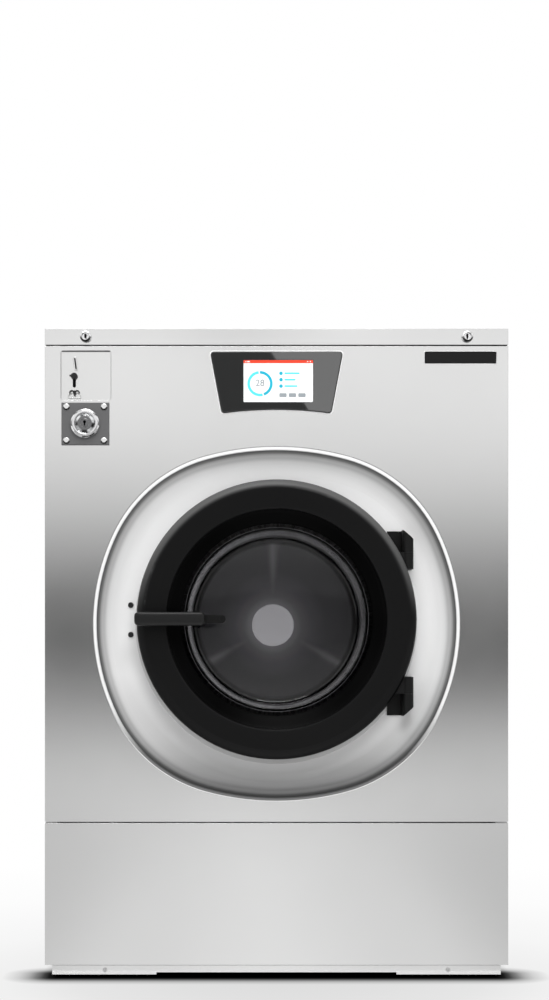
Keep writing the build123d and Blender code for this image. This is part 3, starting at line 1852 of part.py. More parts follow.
def terminal_box():
    """The mains connection box on the rear panel, with an empty cable gland below it."""
    x0, x1 = terminal_x - terminal_width / 2, terminal_x + terminal_width / 2
    z0, z1 = terminal_height - terminal_tall / 2, terminal_height + terminal_tall / 2
    box = block(x0, x1, back_y, back_y + terminal_proud, z0, z1)
    box = fillet(box.edges().filter_by(Axis.Y), dispenser_wall)
    hollow = block(
        x0 + dispenser_wall,
        x1 - dispenser_wall,
        back_y - cut_over,
        back_y + terminal_proud - dispenser_wall,
        z0 + dispenser_wall,
        z1 - dispenser_wall,
    )
    gy = back_y + terminal_proud / 2
    gland = rod_z(terminal_x, gy, gland_radius, z0 - gland_length, z0 + dispenser_wall)
    bore = rod_z(terminal_x, gy, gland_bore_radius, z0 - 2 * gland_length, z0 + 2 * dispenser_wall)
    return box - hollow + gland - bore


def inverter_box():
    """The motor's speed drive, on the inside of the rear panel, with a finned heat sink."""
    x0, x1 = inverter_x - inverter_width / 2, inverter_x + inverter_width / 2
    z0, z1 = inverter_height - inverter_tall / 2, inverter_height + inverter_tall / 2
    y1 = back_y - sheet
    y0 = y1 - inverter_depth
    body = block(x0, x1, y0, y1, z0, z1)
    pitch = inverter_width / inverter_fin_count
    for i in range(inverter_fin_count - 1):
        x = x0 + (i + 1) * pitch
        cut = block(x - pitch / 4, x + pitch / 4, y0 - cut_over, y0 + inverter_fin, z0 - cut_over, z1 + cut_over)
        body = body - cut
    return body


def coin_plate_depth():
    """Depth of the coin plate's face: it lies against the back of the front panel."""
    return sheet


def coin_place(dx, dz):
    return coin_x + dx, coin_height + dz


def coin_drop_plate():
    """The inset coin plate with its slot, reject slot and return cup."""
    d0 = coin_plate_depth()
    d1 = d0 + coin_plate_thickness
    body = rounded_plate(
        coin_x,
        coin_height,
        coin_window_width + 2 * coin_plate_lap,
        coin_window_tall + 2 * coin_plate_lap,
        coin_window_round + coin_plate_lap,
        depth(d0),
        depth(d1),
    )
    sx, sz = coin_place(coin_slot_dx, coin_slot_dz)
    tilt = Pos(sx, sz) * Rot(0, 0, coin_slot_tilt)
    frame = tilt * RectangleRounded(
        coin_slot_width + 2 * coin_slot_frame,
        coin_slot_length + 2 * coin_slot_frame,
        coin_slot_width / 2 + coin_slot_frame / 2,
    )
    slot = tilt * SlotOverall(coin_slot_length, coin_slot_width, rotation=90)
    body = body + slab(frame, depth(d0 - coin_slot_proud), depth(d0))
    body = body - slab(slot, depth(d0 - cut_over), depth(d1 + cut_over))
    rx, rz = coin_place(reject_dx, reject_dz)
    top = rz + reject_slot_width / 2
    reject = Pos(rx, top - reject_slot_drop / 2) * SlotOverall(
        reject_slot_drop, reject_slot_width, rotation=90
    )
    body = body - slab(reject, depth(d0 - cut_over), depth(d1 + cut_over))
    body = body + slab(cup_face(cup_rim), depth(d0 - cup_proud), depth(d0))
    body = body - slab(cup_face(0.0), depth(d0 - cup_proud - cut_over), depth(d1 + cut_over))
    x0, x1, z0, z1 = cup_space()
    y0, y1 = depth(d1), depth(d1 + cup_depth)
    w = cup_wall
    cup = block(x0 - w, x1 + w, y0, y1 + w, z0 - w, z1 + w) - block(x0, x1, y0 - cut_over, y1, z0, z1)
    py, pz = flap_axis()
    reach = flap_pin_reach + pin_gap
    return body + cup - rod_x(py, pz, flap_pin_radius + pin_gap, x0 - reach, x1 + reach)


def cup_space():
    """The coin return's inside: left, right, floor and ceiling."""
    cx, cz = coin_place(cup_dx, cup_dz)
    half = cup_width / 2 - cup_rim + cup_widening
    return cx - half, cx + half, cz - cup_tall / 2 + cup_rim, cz + cup_tall / 2


def flap_axis():
    """Y and Z of the flap's pins."""
    x0, x1, z0, z1 = cup_space()
    y = depth(coin_plate_depth() + coin_plate_thickness + run_gap) + flap_thickness / 2
    return y, z1 - run_gap - flap_thickness / 2


def cup_face(grow):
    """The coin return's arched opening: flat below and round above."""
    cx, cz = coin_place(cup_dx, cup_dz)
    half = cup_width / 2 - cup_rim + grow
    low = cz - cup_tall / 2 + cup_rim - grow
    high = cz + cup_tall / 2 - cup_rim + grow
    spring = (high + low) / 2
    outline = [
        Line((cx - half, low), (cx + half, low)),
        Line((cx + half, low), (cx + half, spring)),
        ThreePointArc((cx + half, spring), (cx, high), (cx - half, spring)),
        Line((cx - half, spring), (cx - half, low)),
    ]
    return make_face(outline)


def coin_return_flap():
    """The flap that closes the coin return from behind, hung on two small pins."""
    x0, x1, z0, z1 = cup_space()
    y, z = flap_axis()
    half = flap_thickness / 2
    flap = block(x0 + run_gap, x1 - run_gap, y - half, y + half, z0 + run_gap, z)
    top = rod_x(y, z, half, x0 + run_gap, x1 - run_gap)
    pins = rod_x(y, z, flap_pin_radius, x0 - flap_pin_reach, x1 + flap_pin_reach)
    return flap + top + pins


def coin_reject_lever():
    """The knob that slides down to return jammed coins, with its stem through the slot."""
    rx, rz = coin_place(reject_dx, reject_dz)
    d0 = coin_plate_depth()
    y_front = depth(d0 - reject_knob_proud)
    y_back = depth(d0 - run_gap)
    knob = rod_y(rx, rz, reject_knob_radius, y_front, y_back)
    knob = fillet(knob.edges().group_by(Axis.Y)[0], reject_knob_radius / 3)
    ear = block(
        rx - reject_knob_radius - reject_ear / 2,
        rx,
        y_front + reject_ear / 2,
        y_back,
        rz,
        rz + reject_ear / 2,
    )
    stem_end = depth(d0 + coin_plate_thickness + cut_over)
    stem = rod_y(rx, rz, reject_stem_width / 2, y_back - run_gap, stem_end)
    washer_y = depth(d0 + coin_plate_thickness + run_gap)
    washer = rod_y(rx, rz, reject_washer_radius, washer_y, washer_y + reject_washer)
    return knob + ear + stem + washer


def coin_acceptor():
    """The coin tester behind the plate, with its runway and the chute to the vault."""
    cx, cz = coin_x, coin_height
    y0 = depth(coin_plate_depth() + coin_plate_thickness + acceptor_offset)
    case = block(
        cx - acceptor_width / 2,
        cx + acceptor_width / 2,
        y0,
        y0 + acceptor_depth,
        cz - acceptor_tall / 2,
        cz + acceptor_tall / 2,
    )
    sx, sz = coin_place(coin_slot_dx, coin_slot_dz)
    throat_y = depth(coin_plate_depth() + coin_plate_thickness)
    half_w = coin_slot_width / 2 + acceptor_wall
    half_t = coin_slot_length / 2 + acceptor_wall
    throat = block(sx - half_w, sx + half_w, throat_y, y0 + cut_over, sz - half_t, sz + half_t)
    runway = block(
        sx - coin_slot_width / 2,
        sx + coin_slot_width / 2,
        throat_y - cut_over,
        y0 + acceptor_depth / 2,
        sz - coin_slot_length / 2,
        sz + coin_slot_length / 2,
    )
    chute_x = cx + acceptor_width / 4
    chute_low = vault_top() + seat_gap
    chute = block(
        chute_x - acceptor_offset / 2,
        chute_x + acceptor_offset / 2,
        y0 + acceptor_depth / 2,
        y0 + acceptor_depth,
        chute_low,
        cz,
    )
    bore = block(
        chute_x - acceptor_offset / 2 + acceptor_wall,
        chute_x + acceptor_offset / 2 - acceptor_wall,
        y0 + acceptor_depth / 2 + acceptor_wall,
        y0 + acceptor_depth - acceptor_wall,
        chute_low - cut_over,
        cz - acceptor_tall / 4,
    )
    return case + throat + chute - runway - bore


def vault_half():
    """Half width and half height of the vault's opening."""
    return (
        vault_plate_width / 2 - vault_window_margin,
        vault_plate_tall / 2 - vault_window_margin,
    )


def vault_space(y0, y1):
    half_w, half_t = vault_half()
    return block(
        vault_x - half_w, vault_x + half_w, y0, y1, vault_height - half_t, vault_height + half_t
    )


def vault_top():
    return vault_height + vault_half()[1] + vault_wall


def vault_sleeve():
    """The steel sleeve that the coin box slides in, with a flange on the front panel."""
    half_w, half_t = vault_half()
    y0, y1 = depth(sheet), depth(vault_depth)
    body = clear_sleeve(
        vault_x - half_w,
        vault_x + half_w,
        y0,
        y1,
        vault_height - half_t,
        vault_height + half_t,
        vault_wall,
    )
    back = block(
        vault_x - half_w - vault_wall,
        vault_x + half_w + vault_wall,
        y1 - vault_wall,
        y1,
        vault_height - half_t - vault_wall,
        vault_height + half_t + vault_wall,
    )
    body = body + back
    y_cam = depth(vault_cam_depth)
    slot = block(
        vault_x - vault_cam_width / 2 - vault_cam_slot_margin,
        vault_x + vault_cam_sweep,
        y_cam - vault_cam_slot_margin,
        y_cam + vault_cam_thickness + vault_cam_slot_margin,
        vault_height - half_t - vault_wall - cut_over,
        vault_height - half_t + cut_over,
    )
    drop_x = coin_x + acceptor_width / 4
    drop_y = depth(coin_plate_depth() + coin_plate_thickness + acceptor_offset + acceptor_depth * 3 / 4)
    drop = block(
        drop_x - acceptor_offset / 2 + acceptor_wall,
        drop_x + acceptor_offset / 2 - acceptor_wall,
        drop_y - acceptor_depth / 4 + acceptor_wall,
        drop_y + acceptor_depth / 4 - acceptor_wall,
        vault_height,
        vault_top() + cut_over,
    )
    return body - slot - drop


def coin_box():
    """The coin box: a front plate and an open-topped tray behind it."""
    face = block(
        vault_x - vault_plate_width / 2,
        vault_x + vault_plate_width / 2,
        depth(-run_gap - vault_plate_thickness),
        depth(-run_gap),
        vault_height - vault_plate_tall / 2,
        vault_height + vault_plate_tall / 2,
    )
    face = chamfer(face.edges().group_by(Axis.Y)[0], vault_plate_bevel)
    half_w, half_t = vault_half()
    half_w, half_t = half_w - box_side_gap, half_t - box_side_gap
    neck_end = vault_cam_depth + vault_cam_thickness + vault_cam_slot_margin
    neck = block(
        vault_x - vault_lock_radius / 2,
        vault_x + vault_lock_radius / 2,
        depth(-run_gap),
        depth(neck_end + box_wall),
        vault_height + half_t / 2,
        vault_height + half_t,
    )
    box = tray(
        vault_x - half_w,
        vault_x + half_w,
        depth(neck_end),
        depth(neck_end + box_length - vault_cam_depth),
        vault_height - half_t - box_side_gap + run_gap,
        vault_height + half_t,
        box_wall,
    )
    bore = rod_y(
        vault_x, vault_height, vault_plug_radius + pin_gap, depth(-vault_plate_thickness - cut_over), depth(cut_over)
    )
    return face + neck + box - bore


def coin_box_rivets():
    rivets = []
    for sx in (-1, 1):
        for sz in (-1, 1):
            x, z = vault_x + sx * rivet_dx, vault_height + sz * rivet_dz
            y1 = depth(-run_gap - vault_plate_thickness)
            head = rod_y(x, z, rivet_radius, y1 - rivet_height, y1)
            head = fillet(head.edges().group_by(Axis.Y)[0], rivet_height * dome_share)
            rivets.append(head.solid())
    return Compound(children=rivets)


def vault_lock_case():
    """The round guard of the vault lock, dished towards the key."""
    y1 = depth(-run_gap - vault_plate_thickness)
    y0 = y1 - vault_lock_height
    body = rod_y(vault_x, vault_height, vault_lock_radius, y0, y1)
    body = fillet(body.edges().group_by(Axis.Y)[0], vault_lock_round)
    dish = Cone(
        vault_dish_radius - vault_dish_depth,
        vault_dish_radius + vault_dish_depth,
        2 * vault_dish_depth,
    )
    dish = Pos(vault_x, y0, vault_height) * Rot(90, 0, 0) * dish
    collar = rod_y(vault_x, vault_height, vault_plug_collar_radius, y0, y0 + 2 * vault_dish_depth)
    bore = rod_y(vault_x, vault_height, vault_plug_radius + pin_gap, y0 - cut_over, y1 + cut_over)
    return body - dish + collar - bore


def key_cut(x, z, y_face, into):
    """The keyhole in a lock's face."""
    slot = block(
        x - key_slot_width / 2,
        x + key_slot_width / 2,
        y_face - cut_over,
        y_face + into,
        z - key_slot_length / 2,
        z + key_slot_length / 2,
    )
    bow = rod_y(x, z + key_slot_length / 4, key_bow_radius, y_face - cut_over, y_face + into)
    return slot + bow


def vault_lock_plug():
    """The turning plug of the vault lock and the cam behind it."""
    y_face = depth(-run_gap - vault_plate_thickness) - vault_lock_height - vault_plug_proud
    y_cam = depth(vault_cam_depth)
    plug = rod_y(vault_x, vault_height, vault_plug_radius, y_face, y_cam)
    plug = chamfer(plug.edges().group_by(Axis.Y)[0], vault_plug_proud / 2)
    plug = plug - key_cut(vault_x, vault_height, y_face, key_slot_depth)
    cam = block(
        vault_x - vault_plug_radius,
        vault_x + vault_cam_length,
        y_cam,
        y_cam + vault_cam_thickness,
        vault_height - vault_cam_width / 2,
        vault_height + vault_cam_width / 2,
    )
    return plug + cam


def top_lock_height():
    """Height of the cover locks, half way up the cover's front apron."""
    return cover_bottom + top_apron / 2 - top_lock_drop


def top_lock(s):
    """A cam lock in the top cover's front; s is -1 for the left and 1 for the right."""
    x, z = s * top_lock_x, top_lock_height()
    y0 = depth(-run_gap - top_lock_head_height)
    head = rod_y(x, z, top_lock_head_radius, y0, depth(-run_gap))
    head = fillet(head.edges().group_by(Axis.Y)[0], top_lock_head_round)
    barrel = rod_y(x, z, top_lock_barrel_radius, depth(-run_gap), depth(top_lock_cam_depth))
    cam = block(
        x + s * top_lock_barrel_radius,
        x - s * top_lock_cam_length,
        depth(top_lock_cam_depth),
        depth(top_lock_cam_depth + top_lock_cam_thickness),
        z - top_lock_cam_width / 2,
        z + top_lock_cam_width / 2,
    )
    return head + barrel + cam - key_cut(x, z, y0, key_slot_depth)


def dispenser_extent():
    x0 = dispenser_x - dispenser_width / 2
    y0 = depth(dispenser_setback)
    return x0, x0 + dispenser_width, y0, y0 + dispenser_length


def top_cover():
    """The top cover: a flat sheet with aprons on four sides and a cut-out for the dispenser."""
    outer = block(-half_width, half_width, depth(0), back_y, cover_bottom, cabinet_height)
    inner = block(
        -half_width + sheet,
        half_width - sheet,
        depth(sheet),
        back_y - sheet,
        cover_bottom - cut_over,
        cabinet_height - sheet,
    )
    body = outer - inner
    x0, x1, y0, y1 = dispenser_extent()
    body = body - block(x0, x1, y0, y1, cabinet_height - cut_over, cabinet_height + cut_over)
    for s in (-1, 1):
        body = body - rod_y(
            s * top_lock_x,
            top_lock_height(),
            top_lock_barrel_radius + pin_gap,
            depth(-cut_over),
            depth(cut_over),
        )
        body = body + cover_leaf(s)
    return body


def cover_hinge_axis():
    """Y and Z of the top cover's hinge axis, outside the rear joint."""
    return back_y + cover_hinge_knuckle_radius + run_gap, cover_bottom - seam / 2


def cover_leaf(s):
    """The middle third of a cover hinge, welded to the cover's rear apron."""
    y, z = cover_hinge_axis()
    x = s * cover_hinge_x
    third = cover_hinge_length / 6
    leaf = block(
        x - third + run_gap,
        x + third - run_gap,
        back_y,
        back_y + cover_hinge_leaf_thickness,
        z + cover_hinge_knuckle_radius / 2,
        z + cover_hinge_leaf,
    )
    knuckle_body = rod_x(
        y, z, cover_hinge_knuckle_radius, x - third + run_gap, x + third - run_gap
    )
    bore = rod_x(
        y, z, cover_hinge_pin_radius + pin_gap, x - third - cut_over, x + third + cut_over
    )
    return leaf + knuckle_body - bore


def cover_hinges():
    """The fixed leaves and pins of the top cover's two hinges, on the rear panel."""
    y, z = cover_hinge_axis()
    solids = []
    for s in (-1, 1):
        x = s * cover_hinge_x
        half, third = cover_hinge_length / 2, cover_hinge_length / 6
        leaf = block(
            x - half,
            x + half,
            back_y,
            back_y + cover_hinge_leaf_thickness,
            z - cover_hinge_leaf,
            z - cover_hinge_knuckle_radius - run_gap,
        )
        for side in (-1, 1):
            x0, x1 = x + side * third, x + side * half
            leaf = leaf + block(
                x0,
                x1,
                back_y,
                back_y + cover_hinge_leaf_thickness,
                z - cover_hinge_leaf,
                z - cover_hinge_knuckle_radius / 2,
            )
            leaf = leaf + rod_x(y, z, cover_hinge_knuckle_radius, x0, x1)
        pin = rod_x(y, z, cover_hinge_pin_radius, x - half, x + half)
        solids.append((leaf + pin).solid())
    return Compound(children=solids)


def dispenser_tub():
    """The supply dispenser: a tray with divided cups, a rim on the cover and an outlet."""
    x0, x1, y0, y1 = dispenser_extent()
    gap = seat_gap
    z1 = cabinet_height
    z0 = z1 - dispenser_depth
    body = tray(x0 + gap, x1 - gap, y0 + gap, y1 - gap, z0, z1 + dispenser_rim_height, dispenser_wall)
    rim = block(
        x0 - dispenser_rim,
        x1 + dispenser_rim,
        y0 - dispenser_rim,
        y1 + dispenser_rim,
        z1,
        z1 + dispenser_rim_height,
    )
    rim = fillet(rim.edges().filter_by(Axis.Z), dispenser_rim)
    rim = rim - block(x0 + gap, x1 - gap, y0 + gap, y1 - gap, z1 - cut_over, z1 + 2 * cut_over)
    body = body + rim
    pitch = (x1 - x0) / dispenser_cup_count
    for i in range(1, dispenser_cup_count):
        x = x0 + i * pitch
        wall = block(
            x - dispenser_wall / 2, x + dispenser_wall / 2, y0 + gap, y1 - gap, z0, z1 - dispenser_wall
        )
        body = body + wall
    ox, oy = (x0 + x1) / 2, y1 - dispenser_length / 4
    pipe = rod_z(ox, oy, dispenser_outlet_radius, z0 - dispenser_outlet_length, z0 + dispenser_wall)
    bore = rod_z(
        ox, oy, dispenser_outlet_radius - dispenser_wall, z0 - 2 * dispenser_outlet_length, z0 + cut_over
    )
    body = body + pipe - bore
    return body + lid_lugs()


def lid_axis():
    """Y and Z of the dispenser lid's hinge, just behind the lid."""
    x0, x1, y0, y1 = dispenser_extent()
    z = cabinet_height + dispenser_rim_height + lid_height / 2
    return y1 + dispenser_rim + lid_pin_radius + dispenser_wall, z


def lid_lug_places():
    x0, x1, y0, y1 = dispenser_extent()
    return [x0 + dispenser_width / 6, x1 - dispenser_width / 6]


def lid_lugs():
    """Pairs of lugs behind the rim, with a pin between them for the lid."""
    y, z = lid_axis()
    x0, x1, y0, y1 = dispenser_extent()
    radius = lid_pin_radius + dispenser_wall / 2
    lugs = None
    for x in lid_lug_places():
        for s in (-1, 1):
            a = x + s * (lid_lug_width / 2 + run_gap)
            b = x + s * (lid_lug_width / 2 + run_gap + dispenser_wall)
            post = block(a, b, y - radius, y + radius, cabinet_height, z)
            lug = post + rod_x(y, z, radius, a, b)
            lugs = lug if lugs is None else lugs + lug
        half = lid_lug_width / 2 + run_gap + dispenser_wall
        lugs = lugs + rod_x(y, z, lid_pin_radius, x - half, x + half)
    foot = block(
        x0 + dispenser_width / 6 - lid_lug_width,
        x1 - dispenser_width / 6 + lid_lug_width,
        y1 + dispenser_rim - dispenser_wall,
        y + radius,
        cabinet_height,
        cabinet_height + dispenser_wall / 2,
    )
    return lugs + foot


def dispenser_lid():
    """The dispenser's lid: a shallow cap over the rim, with a finger recess in front."""
    x0, x1, y0, y1 = dispenser_extent()
    over = dispenser_rim + lid_overhang
    z0 = cabinet_height + dispenser_rim_height + run_gap
    z1 = z0 + lid_height
    front, back = y0 - over, y1 + dispenser_rim - run_gap
    cap = block(x0 - over, x1 + over, front, back, z0, z1)
    cap = fillet(cap.edges().filter_by(Axis.Z), lid_round)
    cap = fillet(cap.edges().group_by(Axis.Z)[-1], lid_thickness)
    hollow = block(
        x0 - over + lid_thickness,
        x1 + over - lid_thickness,
        front + lid_thickness,
        back - lid_thickness,
        z0 - cut_over,
        z1 - lid_thickness,
    )
    hollow = fillet(hollow.edges().filter_by(Axis.Z), lid_round - lid_thickness)
    body = cap - hollow
    grip = block(
        (x0 + x1) / 2 - lid_grip_width / 2,
        (x0 + x1) / 2 + lid_grip_width / 2,
        front - lid_grip_depth,
        front + lid_thickness / 2,
        z1 - 2 * lid_thickness,
        z1 - lid_thickness,
    )
    body = body + grip
    y, z = lid_axis()
    radius = lid_pin_radius + dispenser_wall / 2
    for x in lid_lug_places():
        half = lid_lug_width / 2
        lug = rod_x(y, z, radius, x - half, x + half)
        arm = block(x - half, x + half, back - lid_thickness / 2, y, z, z + radius)
        body = body + lug + arm
        body = body - rod_x(y, z, lid_pin_radius + pin_gap, x - half - cut_over, x + half + cut_over)
    return body


def nameplate():
    """A blank plate in the front panel's top right corner."""
    return rounded_plate(
        nameplate_x,
        nameplate_z,
        nameplate_width,
        nameplate_tall,
        nameplate_round,
        depth(-nameplate_proud),
        depth(0),
    )


def supply_hose():
    """The rubber hose from the dispenser's outlet down to the tub, with a funnel at its top."""
    x0, x1, y0, y1 = dispenser_extent()
    x, y = (x0 + x1) / 2, y1 - dispenser_length / 4
    top = cabinet_height - dispenser_depth - dispenser_outlet_length + funnel_overlap
    low = axis_height
    ledge = top - funnel_mouth_height
    neck = ledge - funnel_fall
    w = funnel_wall
    points = [
        (funnel_mouth_radius, top),
        (funnel_mouth_radius + w, top),
        (funnel_mouth_radius + w, ledge),
        (funnel_neck_radius + w, neck),
        (funnel_neck_radius + w, low),
        (funnel_neck_radius, low),
        (funnel_neck_radius, neck),
        (funnel_mouth_radius, ledge),
    ]
    face = Plane.XZ * make_face(Polyline(*points, close=True))
    body = Pos(x, y, 0) * revolve(face, Axis.Z, 360)
    body = body - rod_y(0, axis_height, tub_outer_radius, depth(0), back_y)
    return max(body.solids(), key=lambda p: p.volume)


def side_panels():
    return Compound(children=[side_panel(s).solid() for s in (-1, 1)])


def lock_and_screws():
    return Compound(children=[door_lock().solid()] + lock_screws())


pieces = {
    "base_frame": base_frame,
    "tub_supports": tub_supports,
    "kick_sill": kick_sill,
    "panel_screws": panel_screws,
    "side_panels": side_panels,
    "access_panels": access_panels,
    "rear_panel": rear_panel,
    "front_panel": front_panel,
    "door_surround": door_surround,
    "lower_front_panel": lower_front_panel,
    "nameplate": nameplate,
    "control_bezel": control_bezel,
    "display_screen": display_screen,
    "display_module": display_module,
    "coin_drop_plate": coin_drop_plate,
    "coin_acceptor": coin_acceptor,
    "vault_sleeve": vault_sleeve,
    "tub_shell": tub_shell,
    "tub_front": tub_front,
    "door_gasket": door_gasket,
    "bearing_housing": bearing_housing,
    "bearings_and_seal": bearings_and_seal,
    "motor": motor,
    "drive_belts": drive_belts,
    "sump_hose": sump_hose,
    "drain_valve": drain_valve,
    "drain_pipe": drain_pipe,
    "inlet_valves": inlet_valves,
    "fill_hoses": fill_hoses,
    "inverter_box": inverter_box,
    "terminal_box": terminal_box,
    "door_lock": lock_and_screws,
    "lock_bolt": lock_bolt,
    "hinge_brackets": hinge_brackets,
    "cover_hinges": cover_hinges,
    "top_cover": top_cover,
    "dispenser_tub": dispenser_tub,
    "dispenser_lid": dispenser_lid,
    "top_lock_left": lambda: top_lock(-1),
    "top_lock_right": lambda: top_lock(1),
    "coin_box": coin_box,
    "coin_box_rivets": coin_box_rivets,
    "vault_lock_case": vault_lock_case,
    "vault_lock_plug": vault_lock_plug,
    "coin_reject_lever": coin_reject_lever,
    "coin_return_flap": coin_return_flap,
    "drum_shell": drum_shell,
    "drum_back": drum_back,
    "drum_front": drum_front,
    "lifters": lifters,
    "drum_hub_cap": drum_hub_cap,
    "drum_trunnion": drum_trunnion,
    "drum_pulley": drum_pulley,
    "motor_pulley": motor_pulley,
    "door_ring": door_ring,
    "door_retainer": door_retainer,
    "door_glass": door_glass,
    "door_hinge_arms": door_hinge_arms,
    "door_handle": door_handle,
    "latch_lever": latch_lever,
}

os.makedirs("parts", exist_ok=True)
for name, make in pieces.items():
    export_step(make(), f"parts/{name}.step")
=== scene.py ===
import json
import math

import bmesh
import bpy
from mathutils import Matrix, Vector


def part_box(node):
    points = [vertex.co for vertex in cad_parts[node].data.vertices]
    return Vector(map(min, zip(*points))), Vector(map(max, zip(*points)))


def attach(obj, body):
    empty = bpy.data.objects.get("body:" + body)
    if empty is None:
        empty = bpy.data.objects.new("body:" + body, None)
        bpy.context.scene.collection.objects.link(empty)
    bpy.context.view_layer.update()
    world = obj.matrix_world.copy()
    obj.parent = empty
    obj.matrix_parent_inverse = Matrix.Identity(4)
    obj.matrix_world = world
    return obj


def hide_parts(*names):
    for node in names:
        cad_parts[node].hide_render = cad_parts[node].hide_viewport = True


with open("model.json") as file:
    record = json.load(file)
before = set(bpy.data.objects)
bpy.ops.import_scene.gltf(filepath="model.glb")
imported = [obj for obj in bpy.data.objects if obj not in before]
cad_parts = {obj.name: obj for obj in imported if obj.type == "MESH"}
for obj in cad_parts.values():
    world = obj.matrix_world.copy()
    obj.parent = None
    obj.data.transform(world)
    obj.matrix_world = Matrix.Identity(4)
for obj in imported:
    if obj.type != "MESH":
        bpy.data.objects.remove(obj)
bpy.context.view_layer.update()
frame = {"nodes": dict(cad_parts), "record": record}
nodes = frame["nodes"]
print("frame loaded:", len(nodes), "nodes")

axisHeight = 0.807  # height of the drum's and door's axis
axisCentre = (0.0, 0.0, axisHeight)
beadFoot = -0.5502  # the dish lies behind this plane, its bead in front of it

# Camera: straight at the front at half its height, with the frame shifted up and to the side
shot = {
    "place": (-0.047, -4.05, 0.734),
    "lens": 55.6,
    "shiftX": 0.0187,
    "shiftY": 0.1517,
}
cameraData = bpy.data.cameras.new("frontCamera")
cameraData.lens = shot["lens"]
cameraData.shift_x = shot["shiftX"]
cameraData.shift_y = shot["shiftY"]
cameraData.clip_end = 200.0
camera = bpy.data.objects.new("frontCamera", cameraData)
camera.location = shot["place"]
camera.rotation_euler = (math.radians(90), 0, 0)
bpy.context.scene.collection.objects.link(camera)
bpy.context.scene.camera = camera
bpy.context.scene.view_settings.view_transform = "Standard"


# Small helpers for node trees
def addNode(tree, kind, place, **settings):
    node = tree.nodes.new(kind)
    node.location = place
    for key, value in settings.items():
        setattr(node, key, value)
    return node


def mathNode(tree, operation, place, first, second=None, clamp=False):
    node = addNode(tree, "ShaderNodeMath", place, operation=operation, use_clamp=clamp)
    for slot, value in ((0, first), (1, second)):
        if value is None:
            continue
        if isinstance(value, (int, float)):
            node.inputs[slot].default_value = value
        else:
            tree.links.new(value, node.inputs[slot])
    return node.outputs[0]


def mixColour(tree, place, factor, first, second, blend="MIX"):
    node = addNode(tree, "ShaderNodeMix", place, data_type="RGBA", blend_type=blend)
    for slot, value in ((0, factor), (6, first), (7, second)):
        if isinstance(value, (int, float)):
            node.inputs[slot].default_value = value
        elif isinstance(value, (tuple, list)):
            node.inputs[slot].default_value = (*value[:3], 1.0)
        else:
            tree.links.new(value, node.inputs[slot])
    return node.outputs[2]


def newGroup(name, inputs, outputs):
    group = bpy.data.node_groups.new(name, "ShaderNodeTree")
    for label, kind, value in inputs:
        socket = group.interface.new_socket(name=label, in_out="INPUT", socket_type=kind)
        socket.default_value = value
    for label, kind in outputs:
        group.interface.new_socket(name=label, in_out="OUTPUT", socket_type=kind)
    start = addNode(group, "NodeGroupInput", (-900, 0))
    end = addNode(group, "NodeGroupOutput", (700, 0))
    return group, start, end


# Brushed lines: noise drawn out along the rolling direction
def makeBrushedGroup():
    group, start, end = newGroup(
        "brushedLines", [("Stretch", "NodeSocketVector", (3.0, 200.0, 320.0))], [("Lines", "NodeSocketFloat")]
    )
    coords = addNode(group, "ShaderNodeTexCoord", (-900, 300))
    pull = addNode(group, "ShaderNodeVectorMath", (-650, 200), operation="MULTIPLY")
    group.links.new(coords.outputs["Object"], pull.inputs[0])
    group.links.new(start.outputs["Stretch"], pull.inputs[1])
    coarse = addNode(group, "ShaderNodeTexNoise", (-400, 300))
    coarse.inputs["Scale"].default_value = 1.0
    coarse.inputs["Detail"].default_value = 4.0
    coarse.inputs["Roughness"].default_value = 0.62
    group.links.new(pull.outputs[0], coarse.inputs["Vector"])
    fine = addNode(group, "ShaderNodeTexNoise", (-400, 0))
    fine.inputs["Scale"].default_value = 3.7
    fine.inputs["Detail"].default_value = 2.0
    group.links.new(pull.outputs[0], fine.inputs["Vector"])
    half = mathNode(group, "MULTIPLY", (-150, 0), fine.outputs["Fac"], 0.45)
    most = mathNode(group, "MULTIPLY", (-150, 200), coarse.outputs["Fac"], 0.55)
    both = mathNode(group, "ADD", (50, 100), half, most)
    group.links.new(both, end.inputs["Lines"])
    return group


# Handling marks and uneven tone: slow noise over the surface
def makeMottleGroup():
    group, start, end = newGroup(
        "slowMottle", [("Size", "NodeSocketFloat", 3.0)], [("Mottle", "NodeSocketFloat")]
    )
    coords = addNode(group, "ShaderNodeTexCoord", (-900, 300))
    noise = addNode(group, "ShaderNodeTexNoise", (-400, 200))
    noise.inputs["Detail"].default_value = 5.0
    noise.inputs["Roughness"].default_value = 0.55
    group.links.new(coords.outputs["Object"], noise.inputs["Vector"])
    group.links.new(start.outputs["Size"], noise.inputs["Scale"])
    spread = addNode(group, "ShaderNodeMapRange", (-100, 200))
    spread.inputs["From Min"].default_value = 0.3
    spread.inputs["From Max"].default_value = 0.7
    group.links.new(noise.outputs["Fac"], spread.inputs["Value"])
    group.links.new(spread.outputs["Result"], end.inputs["Mottle"])
    return group


# Fine surface grain for moulded plastic, powder coat and castings
def makeGrainGroup():
    group, start, end = newGroup(
        "surfaceGrain", [("Scale", "NodeSocketFloat", 900.0)], [("Height", "NodeSocketFloat")]
    )
    coords = addNode(group, "ShaderNodeTexCoord", (-900, 300))
    cells = addNode(group, "ShaderNodeTexVoronoi", (-400, 300), feature="SMOOTH_F1")
    group.links.new(coords.outputs["Object"], cells.inputs["Vector"])
    group.links.new(start.outputs["Scale"], cells.inputs["Scale"])
    noise = addNode(group, "ShaderNodeTexNoise", (-400, 0))
    noise.inputs["Detail"].default_value = 3.0
    group.links.new(coords.outputs["Object"], noise.inputs["Vector"])
    group.links.new(start.outputs["Scale"], noise.inputs["Scale"])
    both = mathNode(group, "ADD", (-100, 200), cells.outputs["Distance"], noise.outputs["Fac"])
    group.links.new(both, end.inputs["Height"])
    return group


